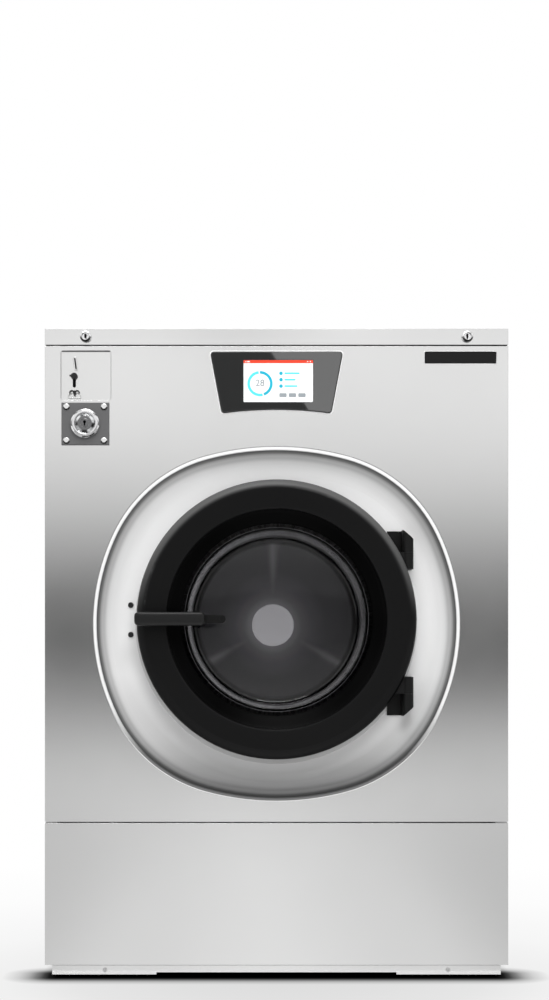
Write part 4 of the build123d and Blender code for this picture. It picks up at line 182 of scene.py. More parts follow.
# Rubbed edges: where the rounded normal leaves the flat one, broken up by noise
def makeEdgeGroup():
    group, start, end = newGroup(
        "rubbedEdges",
        [("Width", "NodeSocketFloat", 0.0015), ("Break", "NodeSocketFloat", 60.0)],
        [("Edge", "NodeSocketFloat")],
    )
    rounded = addNode(group, "ShaderNodeBevel", (-600, 200), samples=6)
    group.links.new(start.outputs["Width"], rounded.inputs["Radius"])
    surface = addNode(group, "ShaderNodeNewGeometry", (-600, 0))
    match = addNode(group, "ShaderNodeVectorMath", (-380, 100), operation="DOT_PRODUCT")
    group.links.new(rounded.outputs["Normal"], match.inputs[0])
    group.links.new(surface.outputs["Normal"], match.inputs[1])
    bent = mathNode(group, "SUBTRACT", (-180, 100), 1.0, match.outputs["Value"], clamp=True)
    strong = mathNode(group, "MULTIPLY", (-20, 100), bent, 4.0, clamp=True)
    coords = addNode(group, "ShaderNodeTexCoord", (-900, -200))
    noise = addNode(group, "ShaderNodeTexNoise", (-400, -200))
    noise.inputs["Detail"].default_value = 4.0
    group.links.new(coords.outputs["Object"], noise.inputs["Vector"])
    group.links.new(start.outputs["Break"], noise.inputs["Scale"])
    broken = addNode(group, "ShaderNodeMapRange", (-180, -200))
    broken.inputs["From Min"].default_value = 0.35
    broken.inputs["From Max"].default_value = 0.6
    group.links.new(noise.outputs["Fac"], broken.inputs["Value"])
    edge = mathNode(group, "MULTIPLY", (250, 0), strong, broken.outputs["Result"])
    group.links.new(edge, end.inputs["Edge"])
    return group


# Edges folded or moulded with a small radius: the normal turns round them
def makeSoftEdgeGroup():
    group, start, end = newGroup(
        "softEdges", [("Width", "NodeSocketFloat", 0.001)], [("Normal", "NodeSocketVector")]
    )
    rounded = addNode(group, "ShaderNodeBevel", (-300, 0), samples=4)
    group.links.new(start.outputs["Width"], rounded.inputs["Radius"])
    group.links.new(rounded.outputs["Normal"], end.inputs["Normal"])
    return group


# Dust that settles on faces that look up
def makeDustGroup():
    group, start, end = newGroup(
        "settledDust", [("Patch", "NodeSocketFloat", 9.0)], [("Dust", "NodeSocketFloat")]
    )
    surface = addNode(group, "ShaderNodeNewGeometry", (-700, 200))
    split = addNode(group, "ShaderNodeSeparateXYZ", (-500, 200))
    group.links.new(surface.outputs["Normal"], split.inputs[0])
    up = addNode(group, "ShaderNodeMapRange", (-300, 200))
    up.inputs["From Min"].default_value = 0.55
    up.inputs["From Max"].default_value = 0.95
    group.links.new(split.outputs["Z"], up.inputs["Value"])
    coords = addNode(group, "ShaderNodeTexCoord", (-900, -200))
    noise = addNode(group, "ShaderNodeTexNoise", (-500, -200))
    noise.inputs["Detail"].default_value = 6.0
    group.links.new(coords.outputs["Object"], noise.inputs["Vector"])
    group.links.new(start.outputs["Patch"], noise.inputs["Scale"])
    dust = mathNode(group, "MULTIPLY", (-50, 0), up.outputs["Result"], noise.outputs["Fac"])
    group.links.new(dust, end.inputs["Dust"])
    return group


brushedLines = makeBrushedGroup()
slowMottle = makeMottleGroup()
surfaceGrain = makeGrainGroup()
rubbedEdges = makeEdgeGroup()
settledDust = makeDustGroup()
softEdges = makeSoftEdgeGroup()


def placeGroup(tree, group, place, **values):
    node = addNode(tree, "ShaderNodeGroup", place)
    node.node_tree = group
    for label, value in values.items():
        node.inputs[label].default_value = value
    return node.outputs[0]


# Grey levels along a value: each mark is (value, level)
def rampNode(tree, place, levels, value, interpolation="LINEAR"):
    low, high = levels[0][0], levels[-1][0]
    share = addNode(tree, "ShaderNodeMapRange", (place[0] - 200, place[1]))
    share.inputs["From Min"].default_value = low
    share.inputs["From Max"].default_value = high
    tree.links.new(value, share.inputs["Value"])
    ramp = addNode(tree, "ShaderNodeValToRGB", place)
    ramp.color_ramp.interpolation = interpolation
    marks = ramp.color_ramp.elements
    while len(marks) < len(levels):
        marks.new(0.5)
    for mark, (at, level) in zip(marks, levels):
        mark.position = (at - low) / (high - low)
        mark.color = (level, level, level, 1)
    tree.links.new(share.outputs["Result"], ramp.inputs["Fac"])
    return ramp.outputs["Color"]


def placeSplit(tree, place, output="Object"):
    coords = addNode(tree, "ShaderNodeTexCoord", (place[0] - 200, place[1]))
    split = addNode(tree, "ShaderNodeSeparateXYZ", place)
    tree.links.new(coords.outputs[output], split.inputs[0])
    return split.outputs


def normalSplit(tree, place):
    surface = addNode(tree, "ShaderNodeNewGeometry", (place[0] - 200, place[1]))
    split = addNode(tree, "ShaderNodeSeparateXYZ", place)
    tree.links.new(surface.outputs["Normal"], split.inputs[0])
    return split.outputs


# Distance from an axis that runs front to back, and the two steps across it
def axisReach(tree, place, centre):
    coords = addNode(tree, "ShaderNodeTexCoord", (place[0] - 400, place[1]))
    away = addNode(tree, "ShaderNodeVectorMath", (place[0] - 200, place[1]), operation="MULTIPLY_ADD")
    tree.links.new(coords.outputs["Object"], away.inputs[0])
    away.inputs[1].default_value = (1.0, 0.0, 1.0)
    away.inputs[2].default_value = (-centre[0], 0.0, -centre[2])
    reach = addNode(tree, "ShaderNodeVectorMath", place, operation="LENGTH")
    tree.links.new(away.outputs[0], reach.inputs[0])
    split = addNode(tree, "ShaderNodeSeparateXYZ", (place[0], place[1] - 150))
    tree.links.new(away.outputs[0], split.inputs[0])
    return reach.outputs["Value"], split.outputs["X"], split.outputs["Z"]


def multiply(tree, place, base, tone, amount=1.0):
    return mixColour(tree, place, amount, base, tone, "MULTIPLY")


# Painted shade: a tone that changes with the height above the floor, darker low down where the door ring's
# shadow falls
def shadeFall(tree, levels, base, amount=1.0):
    fall = rampNode(tree, (-400, 1200), levels, placeSplit(tree, (-900, 1200))["Z"])
    return multiply(tree, (-100, 1200), base, fall, amount)


# Dish: painted shade by its slope and by its depth down the wall, a painted shadow darker towards its foot
# (eased close to the door ring), and painted tones round its raised bead
def shadeDish(tree, dish, base):
    place = placeSplit(tree, (-1100, 1500))
    normal = normalSplit(tree, (-1100, 900))
    reach, acrossX, acrossZ = axisReach(tree, (-900, 2100), axisCentre)
    front = mathNode(tree, "MULTIPLY", (-900, 900), normal["Y"], -1.0)
    base = multiply(tree, (-100, 900), base, rampNode(tree, (-400, 900), dish["slope"], front))
    behind = mathNode(tree, "GREATER_THAN", (-900, 1350), place["Y"], beadFoot)
    near = rampNode(tree, (-400, 1050), dish["near"], reach)
    base = shadeFall(tree, dish["fall"], base, mathNode(tree, "MULTIPLY", (-250, 1050), behind, near))
    wall = rampNode(tree, (-400, 1500), dish["wall"], place["Y"])
    base = multiply(tree, (-100, 1500), base, wall, behind)
    outwardX = mathNode(tree, "MULTIPLY", (-700, 2100), normal["X"], acrossX)
    outwardZ = mathNode(tree, "MULTIPLY", (-700, 1950), normal["Z"], acrossZ)
    outward = mathNode(tree, "ADD", (-600, 2100), outwardX, outwardZ)
    outward = mathNode(tree, "DIVIDE", (-500, 2100), outward, reach)
    # Bead: painted shade on its flanks leaving its face bright; below the ring its inner flank is painted
    # dark, a painted reflection of the black ring
    high = rampNode(tree, (-200, 2100), dish["beadHigh"], outward)
    low = rampNode(tree, (-200, 1900), dish["beadLow"], outward)
    lowShare = rampNode(tree, (-200, 2300), dish["beadTurn"], place["Z"])
    onBead = mathNode(tree, "SUBTRACT", (0, 2300), 1.0, behind)
    return multiply(tree, (100, 1500), base, mixColour(tree, (0, 2100), lowShare, high, low), onBead)


# Drum back: a painted reflection of the hub cap softly round it, and faint painted highlight streaks between
# the lifters
def shadeHub(tree, hub, base):
    reach, acrossX, acrossZ = axisReach(tree, (-900, -1000), axisCentre)
    halo = rampNode(tree, (-300, -1000), hub["halo"], reach)
    base = mixColour(tree, (-100, 500), halo, base, hub["colour"])
    angle = mathNode(tree, "ARCTAN2", (-700, -1200), acrossZ, acrossX)
    angle = mathNode(tree, "MULTIPLY", (-500, -1200), angle, -hub["lobes"])
    lobes = mathNode(tree, "SINE", (-350, -1200), angle)
    lobes = mathNode(tree, "MAXIMUM", (-200, -1200), lobes, 0.0)
    lobes = mathNode(tree, "POWER", (-50, -1200), lobes, hub["lobeSharpness"])
    lobeReach = rampNode(tree, (-100, -1400), hub["lobeReach"], reach)
    lobes = mathNode(tree, "MULTIPLY", (100, -1200), lobes, lobeReach)
    return mixColour(tree, (200, 500), lobes, base, hub["colour"])


# Painted reflection on chrome: dark and bright sectors round its centre, by the angle in degrees
def shadeSweep(tree, look, base):
    acrossX, acrossZ = axisReach(tree, (-900, -1300), look["sweepCentre"])[1:]
    angle = mathNode(tree, "ARCTAN2", (-700, -1300), acrossZ, acrossX)
    degrees = mathNode(tree, "MULTIPLY", (-500, -1300), angle, 180 / math.pi)
    return multiply(tree, (100, 600), base, rampNode(tree, (-100, -1300), look["sweep"], degrees))


# Door ring: a throat painted darker and less glossy, a painted highlight on the top of its shoulder, and less
# gloss on its sides
def shadeRing(tree, shader, look, base):
    ring = look["ring"]
    reach = axisReach(tree, (-900, -1700), axisCentre)[0]
    normal = normalSplit(tree, (-700, -2000))
    outside = rampNode(tree, (-300, -1700), ring["throat"], reach)
    base = multiply(tree, (300, 700), base, outside)
    crest = rampNode(tree, (-300, -2000), ring["crest"], normal["Z"])
    crestReach = rampNode(tree, (-300, -2400), ring["crestReach"], reach)
    crest = mathNode(tree, "MULTIPLY", (0, -2000), crest, crestReach)
    ahead = mathNode(tree, "MULTIPLY", (-500, -2200), normal["Y"], -1.0)
    sideGloss = rampNode(tree, (-100, -2200), ring["sideGloss"], ahead)
    gloss = mathNode(tree, "MULTIPLY", (300, -1700), outside, look["specular"])
    gloss = mathNode(tree, "MULTIPLY", (400, -1900), gloss, sideGloss)
    tree.links.new(gloss, shader.inputs["Specular IOR Level"])
    return mixColour(tree, (400, 700), crest, base, ring["crestHighlight"])


# What a finish has where it doesn't say otherwise
usualLook = {
    "mottleSize": 2.5, "mottle": 0.25, "lineTone": 0.3, "roughSwing": 0.08, "round": 0.0012,
    "bump": 0.2, "bumpDepth": 0.0002, "metallic": 0.0, "specular": 0.5, "ior": 1.5,
    "wearWidth": 0.0012, "wearColour": (0.6, 0.6, 0.6), "dustPatch": 9.0, "dustColour": (0.62, 0.6, 0.57),
}
shadeShare = 0.82  # a finish's darker tone, where it names none


def makeFinish(name, ownLook):
    look = {**usualLook, **ownLook}
    material = bpy.data.materials.new(name)
    material.use_nodes = True
    tree = material.node_tree
    shader = tree.nodes["Principled BSDF"]
    shader.location = (700, 0)
    shade = look.get("shade", tuple(c * shadeShare for c in look["colour"]))
    mottle = placeGroup(tree, slowMottle, (-900, 300), Size=look["mottleSize"])
    toneAmount = mathNode(tree, "MULTIPLY", (-700, 300), mottle, look["mottle"])
    base = mixColour(tree, (-500, 300), toneAmount, look["colour"], shade)
    height = None
    if "stretch" in look:
        height = placeGroup(tree, brushedLines, (-900, 0), Stretch=look["stretch"])
        lineTone = mathNode(tree, "MULTIPLY", (-700, 60), height, look["lineTone"])
        base = mixColour(tree, (-300, 300), lineTone, base, shade)
    if "grain" in look:
        grain = placeGroup(tree, surfaceGrain, (-900, -200), Scale=look["grain"])
        height = grain if height is None else mathNode(tree, "ADD", (-500, -100), height, grain)
    if "lean" in look:
        height = mathNode(tree, "MULTIPLY", (-500, -800), placeSplit(tree, (-700, -800))["Z"], -look["lean"])
    if "dish" in look:
        base = shadeDish(tree, look["dish"], base)
    if "fall" in look:
        base = shadeFall(tree, look["fall"], base)
    # Painted reflection: the colour darkens where the surface faces down
    if "tilt" in look:
        tilt = rampNode(tree, (-300, 1700), look["tilt"], normalSplit(tree, (-900, 1700))["Z"])
        base = multiply(tree, (0, 1000), base, tilt)
    if "hub" in look:
        base = shadeHub(tree, look["hub"], base)
    if "sweep" in look:
        base = shadeSweep(tree, look, base)
    if "wear" in look:
        edge = placeGroup(tree, rubbedEdges, (-900, -400), Width=look["wearWidth"])
        edgeAmount = mathNode(tree, "MULTIPLY", (-700, -400), edge, look["wear"])
        base = mixColour(tree, (-100, 300), edgeAmount, base, look["wearColour"])
    if "dust" in look:
        dust = placeGroup(tree, settledDust, (-900, -600), Patch=look["dustPatch"])
        dustAmount = mathNode(tree, "MULTIPLY", (-700, -600), dust, look["dust"])
        base = mixColour(tree, (100, 300), dustAmount, base, look["dustColour"])
    shader.inputs["Specular IOR Level"].default_value = look["specular"]
    if "ring" in look:
        base = shadeRing(tree, shader, look, base)
    tree.links.new(base, shader.inputs["Base Color"])
    roughScaled = mathNode(tree, "MULTIPLY", (-300, 0), mottle, look["roughSwing"])
    rough = mathNode(tree, "ADD", (-100, 0), roughScaled, look["rough"] - look["roughSwing"] / 2)
    tree.links.new(rough, shader.inputs["Roughness"])
    normal = placeGroup(tree, softEdges, (-300, -500), Width=look["round"])
    if height is not None:
        bump = addNode(tree, "ShaderNodeBump", (100, -200))
        bump.inputs["Strength"].default_value = look["bump"]
        bump.inputs["Distance"].default_value = look["bumpDepth"]
        tree.links.new(height, bump.inputs["Height"])
        tree.links.new(normal, bump.inputs["Normal"])
        normal = bump.outputs["Normal"]
    tree.links.new(normal, shader.inputs["Normal"])
    shader.inputs["Metallic"].default_value = look["metallic"]
    shader.inputs["IOR"].default_value = look["ior"]
    return material


finishes = {
    "panel_steel": {
        "colour": (0.885, 0.885, 0.88), "shade": (0.81, 0.81, 0.81), "metallic": 1.0, "rough": 0.19,
        "roughSwing": 0.05, "stretch": (3.0, 200.0, 420.0), "lineTone": 0.75, "bump": 0.11, "mottle": 0.25,
        "wear": 0.5, "wearColour": (0.92, 0.92, 0.92), "dust": 0.06,
    },
    "dish_steel": {
        "colour": (0.97, 0.97, 0.97), "shade": (0.95, 0.95, 0.95), "metallic": 0.0, "rough": 0.48,
        "grain": 700.0, "bump": 0.03, "mottle": 0.2, "round": 0.0006, "specular": 0.25,
        # Painted light on the dish: shade by slope, depth and height, and the bead's painted shade and
        # painted reflection, laid on by shadeDish
        "dish": {
            "slope": ((0.0, 0.30), (0.35, 0.45), (0.46, 0.90), (0.80, 0.96), (1.0, 1.0)),
            "fall": (
                (0.40, 0.34), (0.432, 0.34), (0.466, 0.41), (0.50, 0.54), (0.534, 0.64), (0.60, 0.75),
                (0.68, 0.88), (0.98, 0.88), (1.14, 0.94),
            ),
            "wall": (
                (beadFoot, 0.10), (-0.5455, 0.18), (-0.5410, 0.28), (-0.5390, 0.40), (-0.5370, 0.53),
                (-0.5320, 0.69), (-0.5295, 0.735), (-0.5257, 0.72), (-0.5226, 0.766), (-0.5200, 0.84),
                (-0.5170, 0.94), (-0.5140, 1.0), (-0.5080, 0.995), (-0.5070, 0.973), (-0.5040, 0.945),
                (-0.5012, 0.92),
            ),
            "near": ((0.325, 0.45), (0.345, 0.62), (0.372, 1.0)),
            "beadHigh": ((-1.0, 0.50), (-0.5, 0.76), (0.0, 0.84), (0.25, 0.56), (0.55, 0.26), (1.0, 0.18)),
            "beadLow": ((-1.0, 0.07), (-0.2, 0.09), (0.10, 0.20), (0.40, 0.85), (0.70, 0.95)),
            "beadTurn": ((0.50, 1.0), (0.62, 0.0)),
        },
    },
    "galvanised": {
        "colour": (0.55, 0.57, 0.58), "shade": (0.42, 0.44, 0.46), "metallic": 0.9, "rough": 0.42,
        "mottleSize": 45.0, "mottle": 0.6, "grain": 160.0, "bump": 0.05, "dust": 0.25,
    },
    "frame_paint": {
        "colour": (0.045, 0.048, 0.052), "shade": (0.03, 0.032, 0.035), "rough": 0.5,
        "grain": 650.0, "bump": 0.25, "wear": 0.5, "wearColour": (0.16, 0.16, 0.165), "dust": 0.35,
    },
    "zinc_screws": {
        "colour": (0.62, 0.62, 0.62), "metallic": 1.0, "rough": 0.28, "mottleSize": 60.0,
        "wear": 0.6, "wearColour": (0.85, 0.85, 0.85),
    },
    "tub_steel": {
        "colour": (0.56, 0.56, 0.56), "metallic": 1.0, "rough": 0.4, "stretch": (40.0, 3.0, 40.0),
        "lineTone": 0.3, "bump": 0.1,
    },
    # Painted shade: the drum's steel is given a dark colour, standing for the dim inside of the drum
    "drum_steel": {
        "colour": (0.17, 0.167, 0.175), "shade": (0.14, 0.14, 0.147), "metallic": 1.0, "rough": 0.34,
        "mottleSize": 6.0, "mottle": 0.3,
    },
    "hub_steel": {
        "colour": (0.95, 0.95, 0.94), "shade": (0.92, 0.92, 0.91), "metallic": 1.0, "rough": 0.17,
        "round": 0.0002, "mottleSize": 20.0, "mottle": 0.15, "stretch": (60.0, 60.0, 60.0), "lineTone": 0.1,
        "bump": 0.03,
    },
    "bezel_gloss": {
        "colour": (0.012, 0.0125, 0.0125), "shade": (0.010, 0.010, 0.010), "rough": 0.022,
        "roughSwing": 0.012, "mottleSize": 14.0, "specular": 0.5, "ior": 2.0, "round": 0.002,
        "lean": 0.07, "bump": 1.0, "bumpDepth": 1.0,
    },
    "screen_pane": {
        "colour": (0.93, 0.95, 0.95), "shade": (0.90, 0.92, 0.93), "rough": 0.12, "roughSwing": 0.04,
        "specular": 0.3,
    },
    "dark_plastic": {
        "colour": (0.012, 0.012, 0.013), "rough": 0.45, "grain": 1200.0, "bump": 0.15, "dust": 0.1,
    },
    "door_plastic": {
        "colour": (0.0034, 0.0034, 0.0036), "shade": (0.0029, 0.0029, 0.0029), "rough": 0.35,
        "grain": 1500.0, "bump": 0.05, "specular": 0.19, "mottle": 0.3, "round": 0.007,
        # Painted shade in the ring's throat and a painted highlight on its shoulder, laid on by shadeRing
        "ring": {
            "throat": ((0.240, 0.22), (0.246, 0.30), (0.250, 1.0), (0.300, 1.0)),
            "crest": ((-1.0, 0.0), (0.02, 0.0), (0.16, 0.50), (0.42, 0.95), (1.0, 1.0)),
            "crestHighlight": (0.105, 0.105, 0.105), "crestReach": ((0.295, 0.0), (0.305, 1.0)),
            "sideGloss": ((0.0, 0.10), (0.45, 0.35), (0.90, 0.95), (1.0, 1.0)),
        },
    },
    "grip_plastic": {
        "colour": (0.0085, 0.0085, 0.0085), "rough": 0.36, "grain": 1400.0, "bump": 0.06, "specular": 0.3,
    },
    "lever_paint": {
        "colour": (0.005, 0.005, 0.005), "rough": 0.36, "grain": 900.0, "bump": 0.1, "specular": 0.2,
        "wear": 0.4, "wearColour": (0.05, 0.05, 0.05),
    },
    "hinge_paint": {
        "colour": (0.006, 0.006, 0.006), "rough": 0.36, "grain": 700.0, "bump": 0.12, "specular": 0.22,
        "wear": 0.5, "wearColour": (0.045, 0.045, 0.045),
    },
    "name_plate": {
        "colour": (0.0045, 0.0045, 0.0045), "rough": 0.35, "grain": 1500.0, "bump": 0.02, "specular": 0.25,
    },
    "coin_plate": {
        "colour": (0.885, 0.885, 0.88), "shade": (0.84, 0.84, 0.84), "metallic": 1.0, "rough": 0.24,
        "stretch": (3.0, 200.0, 500.0), "lineTone": 0.2, "bump": 0.05,
    },
    "vault_grey": {
        "colour": (0.115, 0.115, 0.117), "shade": (0.095, 0.095, 0.097), "rough": 0.5, "metallic": 0.2,
        "grain": 900.0, "bump": 0.12, "wear": 0.4, "wearColour": (0.35, 0.35, 0.35),
    },
    "lock_chrome": {
        "colour": (0.86, 0.86, 0.87), "metallic": 1.0, "rough": 0.08, "roughSwing": 0.04,
        "mottleSize": 40.0, "mottle": 0.15, "round": 0.0030,
    },
    "dark_metal": {
        "colour": (0.012, 0.012, 0.012), "metallic": 0.3, "rough": 0.4, "grain": 900.0, "bump": 0.1,
        "wear": 0.5, "wearColour": (0.12, 0.12, 0.12),
    },
    "rubber": {
        "colour": (0.018, 0.018, 0.018), "shade": (0.013, 0.013, 0.013), "rough": 0.72,
        "grain": 800.0, "bump": 0.15, "specular": 0.3, "dust": 0.15,
    },
    "cast": {
        "colour": (0.16, 0.16, 0.165), "shade": (0.11, 0.11, 0.115), "metallic": 0.4, "rough": 0.6,
        "grain": 420.0, "bump": 0.5, "bumpDepth": 0.0005, "mottleSize": 12.0, "mottle": 0.5,
    },
    "motor_alloy": {
        "colour": (0.38, 0.40, 0.42), "metallic": 0.7, "rough": 0.48, "grain": 600.0, "bump": 0.25,
        "dust": 0.3,
    },
    "steel_shaft": {
        "colour": (0.52, 0.52, 0.53), "metallic": 1.0, "rough": 0.3, "stretch": (160.0, 4.0, 160.0),
        "lineTone": 0.25, "bump": 0.06,
    },
    "bearing_steel": {
        "colour": (0.6, 0.6, 0.61), "metallic": 1.0, "rough": 0.2, "mottleSize": 30.0,
    },
    "box_grey": {
        "colour": (0.28, 0.29, 0.30), "shade": (0.25, 0.26, 0.27), "rough": 0.5, "grain": 800.0,
        "bump": 0.15, "wear": 0.5, "wearColour": (0.5, 0.5, 0.5), "dust": 0.3,
    },
    "white_plastic": {
        "colour": (0.70, 0.70, 0.68), "shade": (0.64, 0.64, 0.61), "rough": 0.42, "grain": 1100.0,
        "bump": 0.08, "dust": 0.12,
    },
    "grey_plastic": {
        "colour": (0.13, 0.135, 0.14), "rough": 0.45, "grain": 1100.0, "bump": 0.1, "dust": 0.3,
    },
    # Painted shadow of the door ring: the lip is darker grey than the dish, darkest low down
    "dishLipShade": {
        "colour": (0.74, 0.74, 0.74), "shade": (0.72, 0.72, 0.72), "rough": 0.48, "grain": 700.0,
        "bump": 0.03, "specular": 0.25,
        "fall": ((0.44, 0.56), (0.50, 0.76), (0.56, 0.87), (0.66, 0.90), (1.2, 1.0)),
    },
    # Painted reflection: the cover locks' rims darken on their downward faces (tilt)
    "rimChrome": {
        "colour": (0.93, 0.93, 0.93), "metallic": 0.7, "rough": 0.30, "mottleSize": 40.0, "mottle": 0.15,
        "round": 0.0004, "tilt": ((-1.0, 0.03), (-0.30, 0.05), (-0.12, 0.35), (0.0, 0.95), (1.0, 1.0)),
    },
    # Painted reflection: the rivets darken on their lower halves (tilt)
    "rivetChrome": {
        "colour": (0.93, 0.93, 0.93), "metallic": 0.7, "rough": 0.25, "mottleSize": 60.0, "mottle": 0.15,
        "round": 0.0003, "tilt": ((-1.0, 0.03), (-0.16, 0.05), (-0.06, 0.20), (0.0, 0.9), (1.0, 1.0)),
    },
    "sweptReflectionChrome": {
        "colour": (0.84, 0.85, 0.86), "metallic": 1.0, "rough": 0.14, "mottleSize": 60.0, "round": 0.0005,
        # Painted reflection: dark and bright sectors by the angle round the lock's centre
        "sweep": (
            (-180, 0.30), (-150, 0.42), (-128, 1.0), (-112, 0.55), (-106, 0.06), (-76, 0.10), (-68, 0.75),
            (-60, 0.95), (-34, 0.62), (-26, 0.40), (-18, 0.05), (-3, 0.08), (8, 0.8), (30, 1.0), (150, 1.0),
            (172, 0.6), (180, 0.30),
        ),
        "sweepCentre": (-0.433, 0.0, 1.250),
    },
    "satinGrey": {
        "colour": (0.20, 0.20, 0.205), "shade": (0.15, 0.15, 0.155), "metallic": 0.8, "rough": 0.34,
        "mottleSize": 60.0, "grain": 900.0, "bump": 0.04,
    },
    # Drum back: dark steel as painted shade for the dim drum; round the hub, a painted reflection of the cap
    # and painted highlight streaks
    "drumBackSteel": {
        "colour": (0.125, 0.122, 0.128), "shade": (0.112, 0.112, 0.117), "metallic": 1.0, "rough": 0.34,
        "mottleSize": 6.0, "mottle": 0.25,
        "hub": {
            "colour": (0.92, 0.92, 0.91),
            "halo": ((0.040, 1.0), (0.050, 0.85), (0.062, 0.42), (0.080, 0.20), (0.105, 0.08), (0.150, 0.0)),
            "lobes": 3.0, "lobeSharpness": 70.0,
            "lobeReach": ((0.08, 0.0), (0.13, 0.16), (0.165, 0.34), (0.185, 0.42)),
        },
    },
    "trimWhite": {
        "colour": (0.94, 0.94, 0.94), "shade": (0.90, 0.90, 0.90), "rough": 0.35, "grain": 900.0,
        "bump": 0.03, "round": 0.0006,
    },
    "shadowGrey": {
        "colour": (0.10, 0.10, 0.10), "rough": 0.6, "specular": 0.1, "grain": 900.0, "bump": 0.05,
    },
    "shadowPale": {
        "colour": (0.42, 0.42, 0.42), "rough": 0.6, "specular": 0.1, "grain": 900.0, "bump": 0.05,
    },
    # Painted shade: black plates on the lock faces stand for the dark inside key slots and keyholes
    "keywayShade": {
        "colour": (0.003, 0.003, 0.003), "rough": 0.6, "specular": 0.1, "grain": 900.0, "bump": 0.1,
    },
    "screenRed": {
        "colour": (0.86, 0.062, 0.028), "shade": (0.84, 0.06, 0.028), "rough": 0.3, "specular": 0.2,
        "mottle": 0.1, "round": 0.0001,
    },
    "screenTeal": {
        "colour": (0.01, 0.43, 0.60), "shade": (0.01, 0.41, 0.57), "rough": 0.3, "specular": 0.2,
        "mottle": 0.2, "round": 0.0001,
    },
    "screenPale": {
        "colour": (0.10, 0.70, 0.80), "shade": (0.09, 0.66, 0.76), "rough": 0.3, "specular": 0.2,
        "mottle": 0.2, "round": 0.0001,
    },
    "screenGrey": {
        "colour": (0.30, 0.33, 0.35), "shade": (0.28, 0.31, 0.33), "rough": 0.3, "specular": 0.2,
        "mottle": 0.2, "round": 0.0001,
    },
    "valve_plastic": {
        "colour": (0.58, 0.58, 0.54), "shade": (0.52, 0.51, 0.46), "rough": 0.45, "grain": 1100.0,
        "bump": 0.1, "dust": 0.2,
    },
}
materials = {name: makeFinish(name, look) for name, look in finishes.items()}


# Clear bowl glass: a faint smear in its roughness, and painted shade on its side wall, where its tint and
# gloss are darker
glassLook = {
    "tint": (0.66, 0.655, 0.675), "tintShare": 0.96, "smearSize": 5.0, "smear": 0.015, "rough": 0.015,
    "ior": 1.46,
    "clear": ((0.170, 1.0), (0.178, 1.0), (0.185, 0.28), (0.215, 0.28)),
    "gloss": ((0.170, 0.5), (0.178, 0.5), (0.185, 0.10), (0.215, 0.10)),
}


def makeGlass(look):
    material = bpy.data.materials.new("glass")
    material.use_nodes = True
    tree = material.node_tree
    shader = tree.nodes["Principled BSDF"]
    mottle = placeGroup(tree, slowMottle, (-900, 0), Size=look["smearSize"])
    darker = tuple(c * look["tintShare"] for c in look["tint"])
    tint = mixColour(tree, (-300, 200), mottle, look["tint"], darker)
    reach = axisReach(tree, (-900, 500), axisCentre)[0]
    tint = multiply(tree, (-100, 300), tint, rampNode(tree, (-300, 500), look["clear"], reach))
    tree.links.new(tint, shader.inputs["Base Color"])
    gloss = rampNode(tree, (-300, -300), look["gloss"], reach)
    tree.links.new(gloss, shader.inputs["Specular IOR Level"])
    smear = mathNode(tree, "MULTIPLY", (-500, 0), mottle, look["smear"])
    rough = mathNode(tree, "ADD", (-300, 0), smear, look["rough"])
    tree.links.new(rough, shader.inputs["Roughness"])
    shader.inputs["Transmission Weight"].default_value = 1.0
    shader.inputs["IOR"].default_value = look["ior"]
    return material


materials["glass"] = makeGlass(glassLook)
print("finishes made:", len(materials))

slotOf = {part["node"]: part["material_slot"] for part in frame["record"]["subparts"]}


def dress(piece, material):
    piece.data.materials.clear()
    piece.data.materials.append(material)


for name, node in nodes.items():
    dress(node, materials[slotOf[name]])
dress(nodes["drum_back"], materials["drumBackSteel"])
dress(nodes["coin_return_flap"], materials["coin_plate"])
dress(nodes["coin_box_rivets"], materials["rivetChrome"])


# The scene's own pieces: each rides with its body
def finishPiece(name, shape, finish, body, crease=35.0):
    bmesh.ops.recalc_face_normals(shape, faces=shape.faces)
    mesh = bpy.data.meshes.new(name)
    shape.to_mesh(mesh)
    shape.free()
    for face in mesh.polygons:
        face.use_smooth = True
    mesh.set_sharp_from_angle(angle=math.radians(crease))
    piece = bpy.data.objects.new(name, mesh)
    bpy.context.scene.collection.objects.link(piece)
    dress(piece, materials[finish])
    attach(piece, body)
    return piece


def mergedCopy(nodeName):
    shape = bmesh.new()
    shape.from_mesh(nodes[nodeName].data)
    bmesh.ops.remove_doubles(shape, verts=shape.verts, dist=0.00001)
    return shape


def bevelEdges(shape, picked, offset, segments):
    bmesh.ops.bevel(
        shape, geom=picked, offset=offset, offset_type="OFFSET", affect="EDGES",
        segments=segments, profile=0.5, material=-1, clamp_overlap=True,
    )


def addBlock(shape, low, high):
    made = bmesh.ops.create_cube(shape, size=1.0)["verts"]
    size = Vector(high) - Vector(low)
    bmesh.ops.scale(shape, vec=size, verts=made)
    bmesh.ops.translate(shape, vec=(Vector(high) + Vector(low)) / 2, verts=made)
    return made


def addPlate(shape, centre, size, corner, front, back, segments=5):
    made = addBlock(
        shape,
        (centre[0] - size[0] / 2, front, centre[1] - size[1] / 2),
        (centre[0] + size[0] / 2, back, centre[1] + size[1] / 2),
    )
    upright = {edge for vert in made for edge in vert.link_edges}
    upright = [e for e in upright if abs(e.verts[0].co.y - e.verts[1].co.y) > 0.5 * abs(back - front)]
    bevelEdges(shape, upright, corner, segments)


